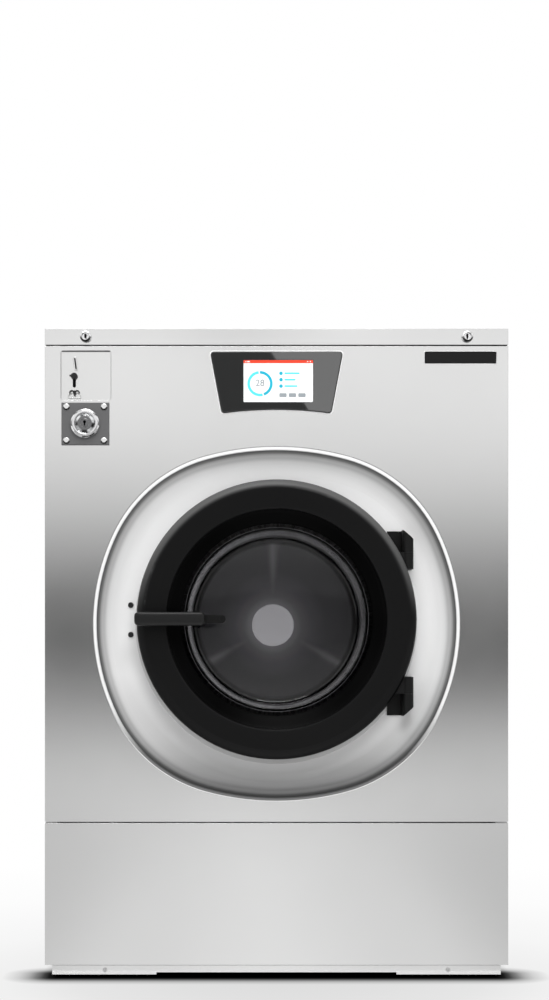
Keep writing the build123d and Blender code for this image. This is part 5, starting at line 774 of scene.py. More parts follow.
def spinProfile(shape, points, rounds, steps, centre):
    verts = [shape.verts.new((centre[0] + r, y, centre[2])) for r, y in points]
    edges = [shape.edges.new((a, b)) for a, b in zip(verts, verts[1:])]
    for index, offset in rounds.items():
        bmesh.ops.bevel(
            shape, geom=[verts[index]], offset=offset, offset_type="OFFSET", affect="VERTICES",
            segments=8, profile=0.5, material=-1, clamp_overlap=True,
        )
    bmesh.ops.spin(
        shape, geom=list(shape.verts) + list(shape.edges), cent=centre, axis=(0, 1, 0),
        angle=math.tau, steps=steps, use_merge=True,
    )
    bmesh.ops.remove_doubles(shape, verts=shape.verts, dist=0.00002)


def turnedPiece(name, points, steps, finish, body, centre=axisCentre, rounds=None, crease=35.0):
    shape = bmesh.new()
    spinProfile(shape, points, rounds or {}, steps, centre)
    return finishPiece(name, shape, finish, body, crease)


# A piece of flat plates: each is (centre, size, corner, front, back, corner steps)
def platePiece(name, plates, finish, body):
    shape = bmesh.new()
    for plate in plates:
        addPlate(shape, *plate)
    return finishPiece(name, shape, finish, body)


# Grip: a rounded bar with a soft front edge
grip = {
    "low": (-0.317, -0.630, 0.7917), "high": (-0.160, -0.596, 0.8223), "corner": 0.0095, "edge": 0.0075,
    "frontReach": 0.0005,
}
gripLow, gripHigh = grip["low"], grip["high"]
gripShape = bmesh.new()
addPlate(
    gripShape, ((gripLow[0] + gripHigh[0]) / 2, (gripLow[2] + gripHigh[2]) / 2),
    (gripHigh[0] - gripLow[0], gripHigh[2] - gripLow[2]), grip["corner"], gripLow[1], gripHigh[1], 8,
)
gripFront = [e for e in gripShape.edges if all(v.co.y < gripLow[1] + grip["frontReach"] for v in e.verts)]
bevelEdges(gripShape, gripFront, grip["edge"], 6)
gripPiece = finishPiece("gripBar", gripShape, "grip_plastic", "handle", 40.0)
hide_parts("door_handle")

# Door glass: one clear bowl, finely turned
bowl = {
    "seat": -0.540, "wall": 0.006, "rim": 0.2366, "mouth": 0.2086, "floor": 0.2010,
    "deep": 0.150, "crown": 0.010, "halfWayShare": 0.5, "halfCrownShare": 0.72, "steps": 160,
    "rounds": {2: 0.012, 7: 0.007, 6: 0.002, 3: 0.0015},
}
bowlBack = bowl["seat"] + bowl["deep"]
bowlFront = bowl["seat"] + bowl["wall"]
halfWay = bowl["floor"] * bowl["halfWayShare"]
halfCrown = bowlBack + bowl["crown"] * bowl["halfCrownShare"]
bowlPiece = turnedPiece(
    "glassBowl",
    [
        (0.0, bowlBack + bowl["crown"]),
        (halfWay, halfCrown),
        (bowl["floor"], bowlBack),
        (bowl["mouth"], bowlFront),
        (bowl["rim"], bowlFront),
        (bowl["rim"], bowl["seat"]),
        (bowl["mouth"] - bowl["wall"], bowl["seat"]),
        (bowl["floor"] - bowl["wall"], bowlBack - bowl["wall"]),
        (halfWay, halfCrown - bowl["wall"]),
        (0.0, bowlBack + bowl["crown"] - bowl["wall"]),
    ],
    bowl["steps"], "glass", "door", rounds=bowl["rounds"], crease=40.0,
)
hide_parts("door_glass")

# Hub cap: the plain cap with a crisp edge
cap = {"radius": 0.0585, "edge": 0.0006, "steps": 96}
capFront, capBack = (corner[1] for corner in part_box("drum_hub_cap"))
capPiece = turnedPiece(
    "hubCap",
    [
        (0.0, capBack), (0.0, capFront), (cap["radius"] - cap["edge"], capFront),
        (cap["radius"], capFront + cap["edge"]), (cap["radius"], capBack), (0.0, capBack),
    ],
    cap["steps"], "hub_steel", "drum",
)
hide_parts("drum_hub_cap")

# Drum: a rolled sheet with its perforations
drum = {
    "radius": 0.400, "wall": 0.002, "front": -0.418, "back": 0.220, "plain": 0.030,
    "around": 96, "rows": 22, "hole": 0.0046, "cornerShare": 0.58, "holeShare": 4.2,
}
drumShape = bmesh.new()
drumLength = drum["back"] - drum["front"]
drumRound = math.tau * drum["radius"]
pierced = drumLength - 2 * drum["plain"]
bmesh.ops.create_grid(drumShape, x_segments=drum["around"], y_segments=drum["rows"], size=0.5)
bmesh.ops.scale(drumShape, vec=(drumRound, pierced, 1.0), verts=drumShape.verts)
drumCells = list(drumShape.faces)
cellWide = drumRound / drum["around"]
bmesh.ops.inset_individual(drumShape, faces=drumCells, thickness=cellWide / 2 - drum["hole"])
drumHoles = [face for face in drumCells if face.is_valid]
for face in drumHoles:
    middle = face.calc_center_median()
    for vert in face.verts:
        vert.co.y = middle.y + math.copysign(drum["hole"], vert.co.y - middle.y)
holeCorners = list({vert for face in drumHoles for vert in face.verts})
bmesh.ops.bevel(
    drumShape, geom=holeCorners, offset=drum["hole"] * drum["cornerShare"], offset_type="OFFSET",
    affect="VERTICES", segments=1, profile=0.5, material=-1, clamp_overlap=True,
)
holeArea = drum["holeShare"] * drum["hole"] ** 2
drumHoles = [face for face in drumShape.faces if face.calc_area() < holeArea and len(face.verts) == 8]
bmesh.ops.delete(drumShape, geom=drumHoles, context="FACES_ONLY")


def atDrumEnd(edge):
    return edge.is_boundary and all(abs(abs(v.co.y) - pierced / 2) < 1e-5 for v in edge.verts)


drumEnds = [edge for edge in drumShape.edges if atDrumEnd(edge)]
for side in (-1, 1):
    picked = [edge for edge in drumEnds if edge.verts[0].co.y * side > 0]
    spread = bmesh.ops.extrude_edge_only(drumShape, edges=picked)["geom"]
    moved = [item for item in spread if isinstance(item, bmesh.types.BMVert)]
    bmesh.ops.translate(drumShape, vec=(0, side * drum["plain"], 0), verts=moved)
drumMiddle = (drum["front"] + drum["back"]) / 2
drumInner = drum["radius"] - drum["wall"]
for vert in drumShape.verts:
    turn = vert.co.x / drum["radius"]
    vert.co = (drumInner * math.sin(turn), vert.co.y + drumMiddle, axisHeight + drumInner * math.cos(turn))
bmesh.ops.remove_doubles(drumShape, verts=drumShape.verts, dist=0.0001)
bmesh.ops.recalc_face_normals(drumShape, faces=drumShape.faces)
bmesh.ops.solidify(drumShape, geom=list(drumShape.faces), thickness=-drum["wall"])
drumPiece = finishPiece("perforatedDrum", drumShape, "drum_steel", "drum", 30.0)
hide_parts("drum_shell")
print("drum sheet:", len(drumPiece.data.polygons), "faces")

# Screen: a generic idle page in flat colours
page = {
    "middle": (0.0039, 1.3463), "size": (0.1574, 0.0948), "front": -0.5557, "back": -0.5551,
    "strip": 0.0068, "stripCorner": 0.0003,
    "marks": ((-0.0735, 0.0026), (-0.0675, 0.0065), (0.0665, 0.0026), (0.0725, 0.0026)),
    "markHeight": 0.0026, "markCorner": 0.00125, "markProud": 0.0001,
    "gauge": (-0.0375, 1.3405), "gaugeRadius": 0.0285, "gaugeWidth": 0.0058,
    "rows": ((1.3640, 0.034), (1.3495, 0.025), (1.3350, 0.029)), "rowStart": 0.018, "rowWide": 0.0036,
    "rowCorner": 0.0017, "rowMark": 0.0078, "rowMarkAway": 0.008, "rowMarkCorner": 0.0037,
    "keys": 3, "keyStart": 0.0145, "keyPitch": 0.0215, "keyHeight": 1.3145, "keySize": (0.0165, 0.0088),
    "keyCorner": 0.002,
    "count": "28", "countSize": 0.021, "countProud": 0.0002, "countRise": 0.0010,
}
pageFront, pageBack = page["front"], page["back"]
stripHeight = page["middle"][1] + page["size"][1] / 2 - page["strip"] / 2
stripPlate = (
    (page["middle"][0], stripHeight), (page["size"][0], page["strip"]), page["stripCorner"],
    pageFront, pageBack, 1,
)
platePiece("screenStrip", [stripPlate], "screenRed", "cabinet")
platePiece(
    "screenMarks",
    [
        (
            (page["middle"][0] + dx, stripHeight), (wide, page["markHeight"]), page["markCorner"],
            pageFront - page["markProud"], pageBack, 4,
        )
        for dx, wide in page["marks"]
    ],
    "trimWhite", "cabinet",
)


def gaugeArc(name, first, last, finish):
    shape = bmesh.new()
    radius, wide = page["gaugeRadius"], page["gaugeWidth"]
    cx, cz = page["gauge"]
    corners = ((radius - wide, pageFront), (radius, pageFront), (radius, pageBack), (radius - wide, pageBack))
    ring = [shape.verts.new((cx + r, y, cz)) for r, y in corners]
    face = shape.faces.new(ring)
    spinBack = Matrix.Rotation(-math.radians(first), 3, "Y")
    bmesh.ops.rotate(shape, cent=(cx, 0, cz), matrix=spinBack, verts=ring)
    bmesh.ops.spin(
        shape, geom=ring + list(face.edges) + [face], cent=(cx, 0, cz), axis=(0, 1, 0),
        angle=-math.radians(last - first), steps=max(8, int((last - first) / 5)),
    )
    return finishPiece(name, shape, finish, "cabinet")


gaugeArc("gaugeDone", -70.0, 90.0, "screenTeal")
gaugeArc("gaugeLeft", 97.0, 283.0, "screenPale")
platePiece(
    "rowBars",
    [
        (
            (page["rowStart"] + long / 2, height), (long, page["rowWide"]), page["rowCorner"],
            pageFront, pageBack,
        )
        for height, long in page["rows"]
    ],
    "screenPale", "cabinet",
)
platePiece(
    "rowMarks",
    [
        (
            (page["rowStart"] - page["rowMarkAway"], height), (page["rowMark"], page["rowMark"]),
            page["rowMarkCorner"], pageFront, pageBack, 6,
        )
        for height, long in page["rows"]
    ],
    "screenTeal", "cabinet",
)
platePiece(
    "pageKeys",
    [
        (
            (page["keyStart"] + page["keyPitch"] * step, page["keyHeight"]), page["keySize"],
            page["keyCorner"], pageFront, pageBack, 4,
        )
        for step in range(page["keys"])
    ],
    "screenGrey", "cabinet",
)
countText = bpy.data.curves.new("countText", "FONT")
countText.body = page["count"]
countText.size = page["countSize"]
countText.align_x = "CENTER"
countText.align_y = "CENTER"
countText.extrude = page["countProud"]
countObject = bpy.data.objects.new("countText", countText)
bpy.context.scene.collection.objects.link(countObject)
bpy.context.view_layer.update()
countShape = bmesh.new()
countShape.from_mesh(bpy.data.meshes.new_from_object(countObject))
bpy.data.objects.remove(countObject)
stoodUp = Matrix.Rotation(math.radians(90), 3, "X")
bmesh.ops.rotate(countShape, cent=(0, 0, 0), matrix=stoodUp, verts=countShape.verts)
countPlace = (page["gauge"][0], pageFront + page["countProud"], page["gauge"][1] + page["countRise"])
bmesh.ops.translate(countShape, vec=countPlace, verts=countShape.verts)
finishPiece("gaugeNumber", countShape, "screenGrey", "cabinet")

# Pale edge trims behind the overlay and the blank plate: a copy, grown and flattened to the back
trims = {
    "control_bezel": ("bezelTrim", 0.0024, "bezel_gloss"),
    "nameplate": ("plateTrim", 0.0014, "name_plate"),
}
trimDepthShare = 0.12
for node, (trimName, lap, slot) in trims.items():
    low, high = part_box(node)
    trimShape = mergedCopy(node)
    backCentre = Vector(((low[0] + high[0]) / 2, high[1], (low[2] + high[2]) / 2))
    growX = 1 + 2 * lap / (high[0] - low[0])
    growZ = 1 + 2 * lap / (high[2] - low[2])
    for vert in trimShape.verts:
        away = vert.co - backCentre
        vert.co = backCentre + Vector((away.x * growX, away.y * trimDepthShare, away.z * growZ))
    finishPiece(trimName, trimShape, "trimWhite", "cabinet")

# Vault lock: a turned cone with painted reflections inside the bright guard, a satin collar, the plug's face,
# and its keyway as a black plate, painted shade for the hole
vault = {
    "x": -0.433, "z": 1.250, "coneFront": -0.5670, "coneBack": -0.5642, "coneOuter": 0.0212,
    "coneInner": 0.0155, "coneFall": 0.0020, "collar": 0.0162, "collarInner": 0.0102,
    "collarFront": -0.5682, "collarEdge": 0.0008, "collarInnerBack": -0.5670, "collarBack": -0.5660,
    "plugFront": -0.5693, "plugRadius": 0.0094, "plugEdge": (0.0010, 0.0007), "plugThick": 0.0009,
    "keyLong": 0.0125, "keyWide": 0.0036, "keyCornerShare": 0.45, "keyFall": 0.0004,
    "keyBow": 0.0066, "keyBowShare": 0.48, "keyBowRise": 0.0022, "keyProud": 0.0003, "keySunk": 0.0004,
    "steps": 64, "plugSteps": 48,
}
vaultCentre = (vault["x"], 0.0, vault["z"])
turnedPiece(
    "guardCone",
    [
        (vault["coneInner"], vault["coneBack"]),
        (vault["coneInner"], vault["coneFront"]),
        (vault["coneOuter"], vault["coneFront"] + vault["coneFall"]),
        (vault["coneOuter"], vault["coneBack"]),
        (vault["coneInner"], vault["coneBack"]),
    ],
    vault["steps"], "sweptReflectionChrome", "coin_drawer", vaultCentre,
)
collarInside = (vault["collarInner"], vault["collarInnerBack"])
turnedPiece(
    "guardCollar",
    [
        collarInside,
        (vault["collarInner"], vault["collarFront"]),
        (vault["collar"] - vault["collarEdge"], vault["collarFront"]),
        (vault["collar"], vault["collarFront"] + vault["collarEdge"]),
        (vault["collar"], vault["collarBack"]),
        collarInside,
    ],
    vault["steps"], "satinGrey", "coin_drawer", vaultCentre,
)
plugBack = vault["plugFront"] + vault["plugThick"]
turnedPiece(
    "plugFace",
    [
        (0.0, plugBack),
        (0.0, vault["plugFront"]),
        (vault["plugRadius"] - vault["plugEdge"][0], vault["plugFront"]),
        (vault["plugRadius"], vault["plugFront"] + vault["plugEdge"][1]),
        (vault["plugRadius"], plugBack),
        (0.0, plugBack),
    ],
    vault["plugSteps"], "satinGrey", "vault_plug", vaultCentre,
)
keyFront = vault["plugFront"] - vault["keyProud"]
keyBack = vault["plugFront"] + vault["keySunk"]
keySlit = (
    (vault["x"], vault["z"] - vault["keyFall"]), (vault["keyWide"], vault["keyLong"]),
    vault["keyWide"] * vault["keyCornerShare"], keyFront, keyBack, 4,
)
keyRound = (
    (vault["x"], vault["z"] + vault["keyBowRise"]), (vault["keyBow"], vault["keyBow"]),
    vault["keyBow"] * vault["keyBowShare"], keyFront, keyBack, 6,
)
platePiece("plugKeyway", [keySlit, keyRound], "keywayShade", "vault_plug")

# Dish: a low step on its floor behind the door ring, its darker grey a painted shadow of the ring
lip = {
    "inner": 0.300, "outer": 0.3245, "drop": 0.0065, "front": -0.5032, "back": -0.5016, "edge": 0.0012,
    "steps": 128,
}
turnedPiece(
    "dishLip",
    [
        (lip["inner"], lip["back"]),
        (lip["inner"], lip["front"]),
        (lip["outer"] - lip["edge"], lip["front"]),
        (lip["outer"], lip["back"]),
        (lip["inner"], lip["back"]),
    ],
    lip["steps"], "dishLipShade", "cabinet", (0.0, 0.0, axisHeight - lip["drop"]),
)

# Coin return: the two finger scrolls and the stop pin on the flap
scroll = {
    "x": -0.4578, "y": -0.5524, "z": 1.3208, "apart": 0.0060, "radius": 0.0046, "wire": 0.0014,
    "start": 35, "sweep": 250, "steps": 20, "pin": (0.0036, 0.0120), "pinCorner": 0.0016,
    "pinFall": 0.0010, "pinBack": 0.0022,
}
scrollShape = bmesh.new()
for side in (-1, 1):
    centre = (scroll["x"] + side * scroll["apart"], scroll["y"], scroll["z"])
    hoop = bmesh.ops.create_circle(scrollShape, segments=10, radius=scroll["wire"], cap_ends=True)["verts"]
    bmesh.ops.translate(scrollShape, vec=Vector(centre) + Vector((scroll["radius"], 0, 0)), verts=hoop)
    hoopEdges = {edge for vert in hoop for edge in vert.link_edges}
    hoopFaces = {face for vert in hoop for face in vert.link_faces}
    start = Matrix.Rotation(math.radians(scroll["start"]), 3, "Y")
    bmesh.ops.rotate(scrollShape, cent=centre, matrix=start, verts=hoop)
    bmesh.ops.spin(
        scrollShape, geom=hoop + list(hoopEdges) + list(hoopFaces), cent=centre, axis=(0, 1, 0),
        angle=-math.radians(scroll["sweep"]), steps=scroll["steps"],
    )
addPlate(
    scrollShape, (scroll["x"], scroll["z"] - scroll["pinFall"]), scroll["pin"], scroll["pinCorner"],
    scroll["y"] - scroll["wire"], scroll["y"] + scroll["pinBack"], 4,
)
finishPiece("returnScrolls", scrollShape, "dark_metal", "cabinet")

# Coin plate: a painted shadow line over its folded edge, and pale painted shade lines down its sides
shadeLine = {
    "top": 0.0021, "topInset": 0.003, "topCorner": 0.0009, "side": 0.0007, "sideInset": 0.006,
    "sideCorner": 0.00025, "wide": 0.1130, "low": 1.3045, "high": 1.4160, "proud": 0.0004, "thick": 0.001,
}
coinPlateLow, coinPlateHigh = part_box("coin_drop_plate")
shadeLineX = (coinPlateLow[0] + coinPlateHigh[0]) / 2
shadeLineFront = coinPlateLow[1] - shadeLine["proud"]
shadeLineBack = shadeLineFront + shadeLine["thick"]
shadeLineTop = (
    (shadeLineX, shadeLine["high"] - shadeLine["top"] / 2), (shadeLine["wide"] - shadeLine["topInset"], shadeLine["top"]), shadeLine["topCorner"],
    shadeLineFront, shadeLineBack, 4,
)
shadeLineSides = [
    (
        (shadeLineX + side * shadeLine["wide"] / 2, (shadeLine["low"] + shadeLine["high"]) / 2),
        (shadeLine["side"], shadeLine["high"] - shadeLine["low"] - shadeLine["sideInset"]), shadeLine["sideCorner"],
        shadeLineFront, shadeLineBack, 2,
    )
    for side in (-1, 1)
]
platePiece("coinPlateShadow", [shadeLineTop], "shadowGrey", "cabinet")
platePiece("coinPlateSides", shadeLineSides, "shadowPale", "cabinet")

# Cover locks: a coned bright rim round each, painted dark on its downward faces as a painted reflection, and
# the key slot as a black plate, painted shade for the slot
coverLock = {
    "x": 0.4325, "z": 1.4478, "mouth": 0.0080, "mouthEdge": (0.0005, 0.0003), "rim": 0.01255,
    "proud": 0.0034, "mouthSunk": 0.0008, "rimSunk": (0.0004, 0.0016), "steps": 64,
    "slot": (0.0040, 0.0098), "slotShift": (-0.0006, 0.0010), "slotCornerShare": 0.45,
    "slotProud": 0.0003, "slotSunk": 0.0012,
}
for side, node, body in ((-1, "top_lock_left", "left_cover_lock"), (1, "top_lock_right", "right_cover_lock")):
    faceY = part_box(node)[0][1]
    lockX = side * coverLock["x"]
    rimFront = faceY - coverLock["proud"]
    mouthBack = (coverLock["mouth"], faceY + coverLock["mouthSunk"])
    turnedPiece(
        body + "Rim",
        [
            mouthBack,
            (coverLock["mouth"], rimFront),
            (coverLock["mouth"] + coverLock["mouthEdge"][0], rimFront - coverLock["mouthEdge"][1]),
            (coverLock["rim"], faceY + coverLock["rimSunk"][0]),
            (coverLock["rim"], faceY + coverLock["rimSunk"][1]),
            mouthBack,
        ],
        coverLock["steps"], "rimChrome", body, (lockX, 0.0, coverLock["z"]),
    )
    slotPlate = (
        (lockX + coverLock["slotShift"][0], coverLock["z"] + coverLock["slotShift"][1]), coverLock["slot"],
        coverLock["slot"][0] * coverLock["slotCornerShare"], faceY - coverLock["slotProud"],
        faceY + coverLock["slotSunk"], 4,
    )
    platePiece(body + "Keyway", [slotPlate], "keywayShade", body)
print("own pieces made")

# Light: a pale room that is darker near its horizon, three soft boxes, and screens for the polished steel
room = {
    "fill": 0.62,
    "throughGlass": 0.66,
    "levels": ((0.0, 0.10), (0.22, 0.32), (0.40, 1.0), (0.60, 1.0), (0.66, 0.12), (0.78, 0.12), (0.84, 1.0)),
}
world = bpy.data.worlds.new("paleRoom")
bpy.context.scene.world = world
world.use_nodes = True
worldTree = world.node_tree
worldTree.nodes.clear()
worldEnd = addNode(worldTree, "ShaderNodeOutputWorld", (800, 0))
rays = addNode(worldTree, "ShaderNodeLightPath", (-600, 400))
cameraRay = rays.outputs["Is Camera Ray"]
glassRay = rays.outputs["Is Transmission Ray"]
seen = mathNode(worldTree, "MAXIMUM", (-300, 300), cameraRay, rays.outputs["Is Glossy Ray"])
seen = mathNode(worldTree, "MAXIMUM", (-100, 300), seen, glassRay)
roomHeight = placeSplit(worldTree, (-900, -200), "Generated")["Z"]
rise = rampNode(worldTree, (-500, -200), room["levels"], roomHeight)
notCamera = mathNode(worldTree, "SUBTRACT", (-300, 100), 1.0, cameraRay)
notGlass = mathNode(worldTree, "SUBTRACT", (-300, -600), 1.0, glassRay)
glassLevel = mathNode(worldTree, "MULTIPLY", (-250, -450), glassRay, room["throughGlass"])
seenLevel = mathNode(worldTree, "MULTIPLY", (-250, -200), rise, notCamera)
seenLevel = mathNode(worldTree, "MULTIPLY", (-160, -200), seenLevel, notGlass)
seenLevel = mathNode(worldTree, "ADD", (-80, -200), seenLevel, cameraRay)
seenLevel = mathNode(worldTree, "ADD", (0, -200), seenLevel, glassLevel)
roomLight = addNode(worldTree, "ShaderNodeBackground", (200, 0))
roomLight.inputs["Color"].default_value = (1, 1, 1, 1)
roomLight.inputs["Strength"].default_value = room["fill"]
roomSeen = addNode(worldTree, "ShaderNodeBackground", (200, -200))
roomSeen.inputs["Color"].default_value = (1, 1, 1, 1)
worldTree.links.new(seenLevel, roomSeen.inputs["Strength"])
roomMix = addNode(worldTree, "ShaderNodeMixShader", (500, 0))
worldTree.links.new(seen, roomMix.inputs[0])
worldTree.links.new(roomLight.outputs[0], roomMix.inputs[1])
worldTree.links.new(roomSeen.outputs[0], roomMix.inputs[2])
worldTree.links.new(roomMix.outputs[0], worldEnd.inputs["Surface"])


def addSoftBox(name, place, aim, size, power):
    data = bpy.data.lights.new(name, "AREA")
    data.shape = "RECTANGLE"
    data.size, data.size_y = size
    data.energy = power
    lamp = bpy.data.objects.new(name, data)
    lamp.location = place
    way = Vector(aim) - Vector(place)
    lamp.rotation_euler = way.to_track_quat("-Z", "Y").to_euler()
    bpy.context.scene.collection.objects.link(lamp)
    return lamp


keyBox = addSoftBox("keyBox", (0.3, -3.6, 2.9), (0, -0.5, 0.8), (1.5, 1.0), 50)
keyBox.visible_glossy = False
addSoftBox("frontTopBox", (-0.2, -1.9, 3.3), (0, -0.55, 0.9), (1.6, 0.7), 22)
addSoftBox("topBox", (-0.6, 0.4, 4.2), (0, 0, 0.8), (3.0, 3.0), 40)


# A glowing card that only polished surfaces see, graded along one axis
def addScreen(name, corners, levels, axis="Z"):
    mesh = bpy.data.meshes.new(name)
    shape = bmesh.new()
    shape.faces.new([shape.verts.new(corner) for corner in corners])
    shape.to_mesh(mesh)
    shape.free()
    screen = bpy.data.objects.new(name, mesh)
    bpy.context.scene.collection.objects.link(screen)
    for way in ("camera", "diffuse", "transmission", "volume_scatter", "shadow"):
        setattr(screen, "visible_" + way, False)
    material = bpy.data.materials.new(name)
    material.use_nodes = True
    tree = material.node_tree
    tree.nodes.clear()
    end = addNode(tree, "ShaderNodeOutputMaterial", (700, 0))
    glow = addNode(tree, "ShaderNodeEmission", (300, 0))
    level = rampNode(tree, (-100, 0), levels, placeSplit(tree, (-500, 0))[axis], "EASE")
    tree.links.new(level, glow.inputs["Color"])
    tree.links.new(glow.outputs[0], end.inputs["Surface"])
    dress(screen, material)
    return tree, glow


# Mirrored by the front panels: pale at the foot, dark at mid height, pale again at the top
grade = {
    "y": -4.15, "side": 3.2, "low": 0.002, "high": 2.4,
    "levels": (
        (0.0, 0.82), (0.20, 0.72), (0.40, 0.44), (0.60, 0.11), (0.80, 0.01),
        (0.98, 0.08), (1.18, 0.35), (1.42, 0.67), (1.75, 0.88), (2.1, 0.94), (2.4, 0.95),
    ),
}
gradeOutline = (
    (-grade["side"], grade["low"]), (grade["side"], grade["low"]),
    (grade["side"], grade["high"]), (-grade["side"], grade["high"]),
)
addScreen("gradedScreen", [(x, grade["y"], z) for x, z in gradeOutline], grade["levels"])

# Mirrored by the screen's overlay: a dark card with a light wedge before it
cards = {
    "dark": 0.15, "darkY": -4.10, "darkOutline": ((-0.30, 2.31), (0.30, 2.31), (0.30, 2.67), (-0.30, 2.67)),
    "light": 1.35, "lightY": -4.09,
    "lightOutline": ((-0.0037, 2.672), (0.2227, 2.314), (0.41, 2.314), (0.41, 2.672)),
    "span": (2.0, 3.0),
}
for card in ("dark", "light"):
    outline = [(x, cards[card + "Y"], z) for x, z in cards[card + "Outline"]]
    addScreen(card + "Card", outline, [(height, cards[card]) for height in cards["span"]])

# Mirrored by the kick panel's foot: the floor's sheen, darker where steep rays from high up meet it
sheen = {
    "front": -0.565, "back": -4.14, "side": 3.2, "height": 0.003,
    "levels": (
        (-1.6, 0.48), (-1.0, 0.55), (-0.70, 0.60), (-0.35, 0.77), (0.0, 0.85),
        (0.35, 0.76), (0.70, 0.58), (1.0, 0.53), (1.6, 0.48),
    ),
    "foot": 0.57, "reach": -2.20, "shadeSide": 0.90, "rise": 1.44, "shade": 0.03,
}
sheenOutline = (
    (-sheen["side"], sheen["front"]), (sheen["side"], sheen["front"]),
    (sheen["side"], sheen["back"]), (-sheen["side"], sheen["back"]),
)
sheenTree, sheenGlow = addScreen(
    "floorSheen", [(x, y, sheen["height"]) for x, y in sheenOutline], sheen["levels"], "X"
)
sheenPlace = placeSplit(sheenTree, (-700, -700))
path = addNode(sheenTree, "ShaderNodeLightPath", (-900, -400)).outputs["Ray Length"]
away = mathNode(sheenTree, "ADD", (-500, -600), sheenPlace["Y"], sheen["foot"])
awaySquared = mathNode(sheenTree, "MULTIPLY", (-300, -600), away, away)
pathSquared = mathNode(sheenTree, "MULTIPLY", (-500, -400), path, path)
riseSquared = mathNode(sheenTree, "SUBTRACT", (-100, -400), pathSquared, awaySquared)
fromHigh = mathNode(sheenTree, "GREATER_THAN", (100, -400), riseSquared, sheen["rise"])
near = mathNode(sheenTree, "GREATER_THAN", (-300, -800), sheenPlace["Y"], sheen["reach"])
beside = mathNode(sheenTree, "ABSOLUTE", (-500, -950), sheenPlace["X"])
beside = mathNode(sheenTree, "LESS_THAN", (-300, -950), beside, sheen["shadeSide"])
near = mathNode(sheenTree, "MULTIPLY", (-100, -800), near, beside)
shaded = mathNode(sheenTree, "MULTIPLY", (250, -600), fromHigh, near)
shaded = mathNode(sheenTree, "MULTIPLY", (400, -600), shaded, sheen["shade"] - 1)
shaded = mathNode(sheenTree, "ADD", (550, -600), shaded, 1.0)
sheenTree.links.new(shaded, sheenGlow.inputs["Strength"])

# Floor: a white card; the camera sees it with a painted soft shadow round the foot
floorLook = {
    "size": 60.0, "near": 1.1, "far": 2.6, "nearGlow": 0.35, "colour": (0.93, 0.93, 0.93),
    "toneFront": 0.60, "toneSquash": 1.333,
    "tones": ((0.0, 0.72), (0.25, 0.75), (0.45, 0.79), (0.60, 0.87), (0.90, 0.92), (1.6, 0.975), (2.6, 1.0)),
    "strip": ((0.0, 0.0), (0.15, 0.014), (0.25, 0.07), (0.40, 0.27), (0.53, 0.52), (0.70, 0.75), (1.0, 1.0)),
    "stripEnd": (0.495, 0.125), "stripY": -0.550, "stripFront": (0.020, 0.075),
    "skirt": ((0.0, 0.0), (0.3, 0.25), (0.7, 0.8), (1.0, 1.0)),
    "skirtSide": (0.485, 0.05), "skirtFront": (0.535, 0.05),
}
floorMesh = bpy.data.meshes.new("floor")
floorShape = bmesh.new()
bmesh.ops.create_grid(floorShape, x_segments=1, y_segments=1, size=floorLook["size"] / 2)
floorShape.to_mesh(floorMesh)
floorShape.free()
floor = bpy.data.objects.new("floor", floorMesh)
bpy.context.scene.collection.objects.link(floor)
floorMaterial = bpy.data.materials.new("floorCard")
floorMaterial.use_nodes = True
floorTree = floorMaterial.node_tree
floorTree.nodes.clear()
floorEnd = addNode(floorTree, "ShaderNodeOutputMaterial", (1100, 0))
floorCard = addNode(floorTree, "ShaderNodeBsdfDiffuse", (100, 100))
floorCard.inputs["Color"].default_value = (*floorLook["colour"], 1)
floorGlow = addNode(floorTree, "ShaderNodeEmission", (100, -100))
floorGlow.inputs["Color"].default_value = (1, 1, 1, 1)
floorCoords = addNode(floorTree, "ShaderNodeTexCoord", (-1500, 0))
floorReach = addNode(floorTree, "ShaderNodeVectorMath", (-700, 0), operation="LENGTH")
floorTree.links.new(floorCoords.outputs["Object"], floorReach.inputs[0])
floorFade = addNode(floorTree, "ShaderNodeMapRange", (-500, 0), interpolation_type="SMOOTHSTEP")
floorFade.inputs["From Min"].default_value = floorLook["near"]
floorFade.inputs["From Max"].default_value = floorLook["far"]
floorFade.inputs["To Min"].default_value = floorLook["nearGlow"]
floorTree.links.new(floorReach.outputs["Value"], floorFade.inputs["Value"])
floorMix = addNode(floorTree, "ShaderNodeMixShader", (400, 0))
floorTree.links.new(floorFade.outputs["Result"], floorMix.inputs[0])
floorTree.links.new(floorCard.outputs[0], floorMix.inputs[1])
floorTree.links.new(floorGlow.outputs[0], floorMix.inputs[2])


def floorLength(place, first, second):
    firstSquared = mathNode(floorTree, "MULTIPLY", (place[0] - 180, place[1]), first, first)
    secondSquared = mathNode(floorTree, "MULTIPLY", (place[0] - 180, place[1] - 150), second, second)
    squared = mathNode(floorTree, "ADD", place, firstSquared, secondSquared)
    return mathNode(floorTree, "SQRT", (place[0] + 180, place[1]), squared)


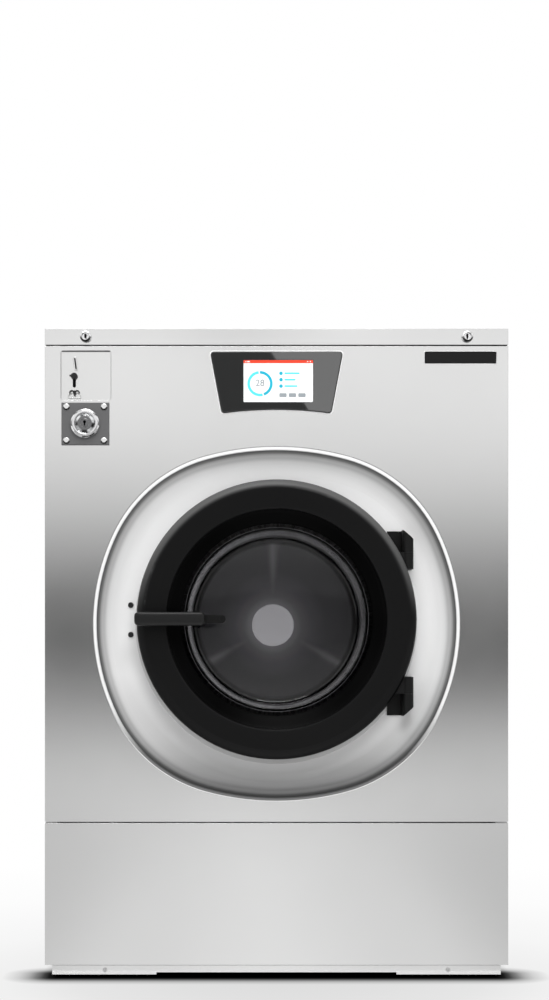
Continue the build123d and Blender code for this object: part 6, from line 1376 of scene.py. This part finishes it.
# How far a coordinate lies past an edge on either side, as a share of a width
def floorPast(place, value, edge, width):
    past = mathNode(floorTree, "ABSOLUTE", place, value)
    past = mathNode(floorTree, "SUBTRACT", (place[0] + 180, place[1]), past, edge)
    past = mathNode(floorTree, "MAXIMUM", (place[0] + 360, place[1]), past, 0.0)
    return mathNode(floorTree, "MULTIPLY", (place[0] + 540, place[1]), past, 1 / width)


# Painted shadow: the floor's tone falls near the machine, with a dark strip along the front foot and a skirt
# round the footprint
floorSplit = placeSplit(floorTree, (-1300, -400))
floorX, floorY = floorSplit["X"], floorSplit["Y"]
toneY = mathNode(floorTree, "ADD", (-1100, -900), floorY, floorLook["toneFront"])
toneY = mathNode(floorTree, "MULTIPLY", (-900, -900), toneY, floorLook["toneSquash"])
floorTone = rampNode(floorTree, (0, -900), floorLook["tones"], floorLength((-500, -900), floorX, toneY))
stripX = floorPast((-1100, -1200), floorX, *floorLook["stripEnd"])
stripShift = mathNode(floorTree, "SUBTRACT", (-1280, -1500), floorY, floorLook["stripY"])
stripY = floorPast((-1100, -1500), stripShift, *floorLook["stripFront"])
stripTone = rampNode(floorTree, (0, -1200), floorLook["strip"], floorLength((-300, -1300), stripX, stripY))
skirtX = floorPast((-1100, -1800), floorX, *floorLook["skirtSide"])
skirtY = floorPast((-1100, -2100), floorY, *floorLook["skirtFront"])
skirtTone = rampNode(floorTree, (0, -1800), floorLook["skirt"], floorLength((-300, -1900), skirtX, skirtY))
floorShade = mathNode(floorTree, "MULTIPLY", (300, -1300), stripTone, skirtTone)
floorShade = mathNode(floorTree, "MULTIPLY", (480, -1100), floorShade, floorTone)
floorSeen = addNode(floorTree, "ShaderNodeEmission", (660, -400))
floorTree.links.new(floorShade, floorSeen.inputs["Strength"])
floorRays = addNode(floorTree, "ShaderNodeLightPath", (400, 400))
floorSwap = addNode(floorTree, "ShaderNodeMixShader", (850, 0))
floorTree.links.new(floorRays.outputs["Is Camera Ray"], floorSwap.inputs[0])
floorTree.links.new(floorMix.outputs[0], floorSwap.inputs[1])
floorTree.links.new(floorSeen.outputs[0], floorSwap.inputs[2])
floorTree.links.new(floorSwap.outputs[0], floorEnd.inputs["Surface"])
dress(floor, floorMaterial)
print("stage set")
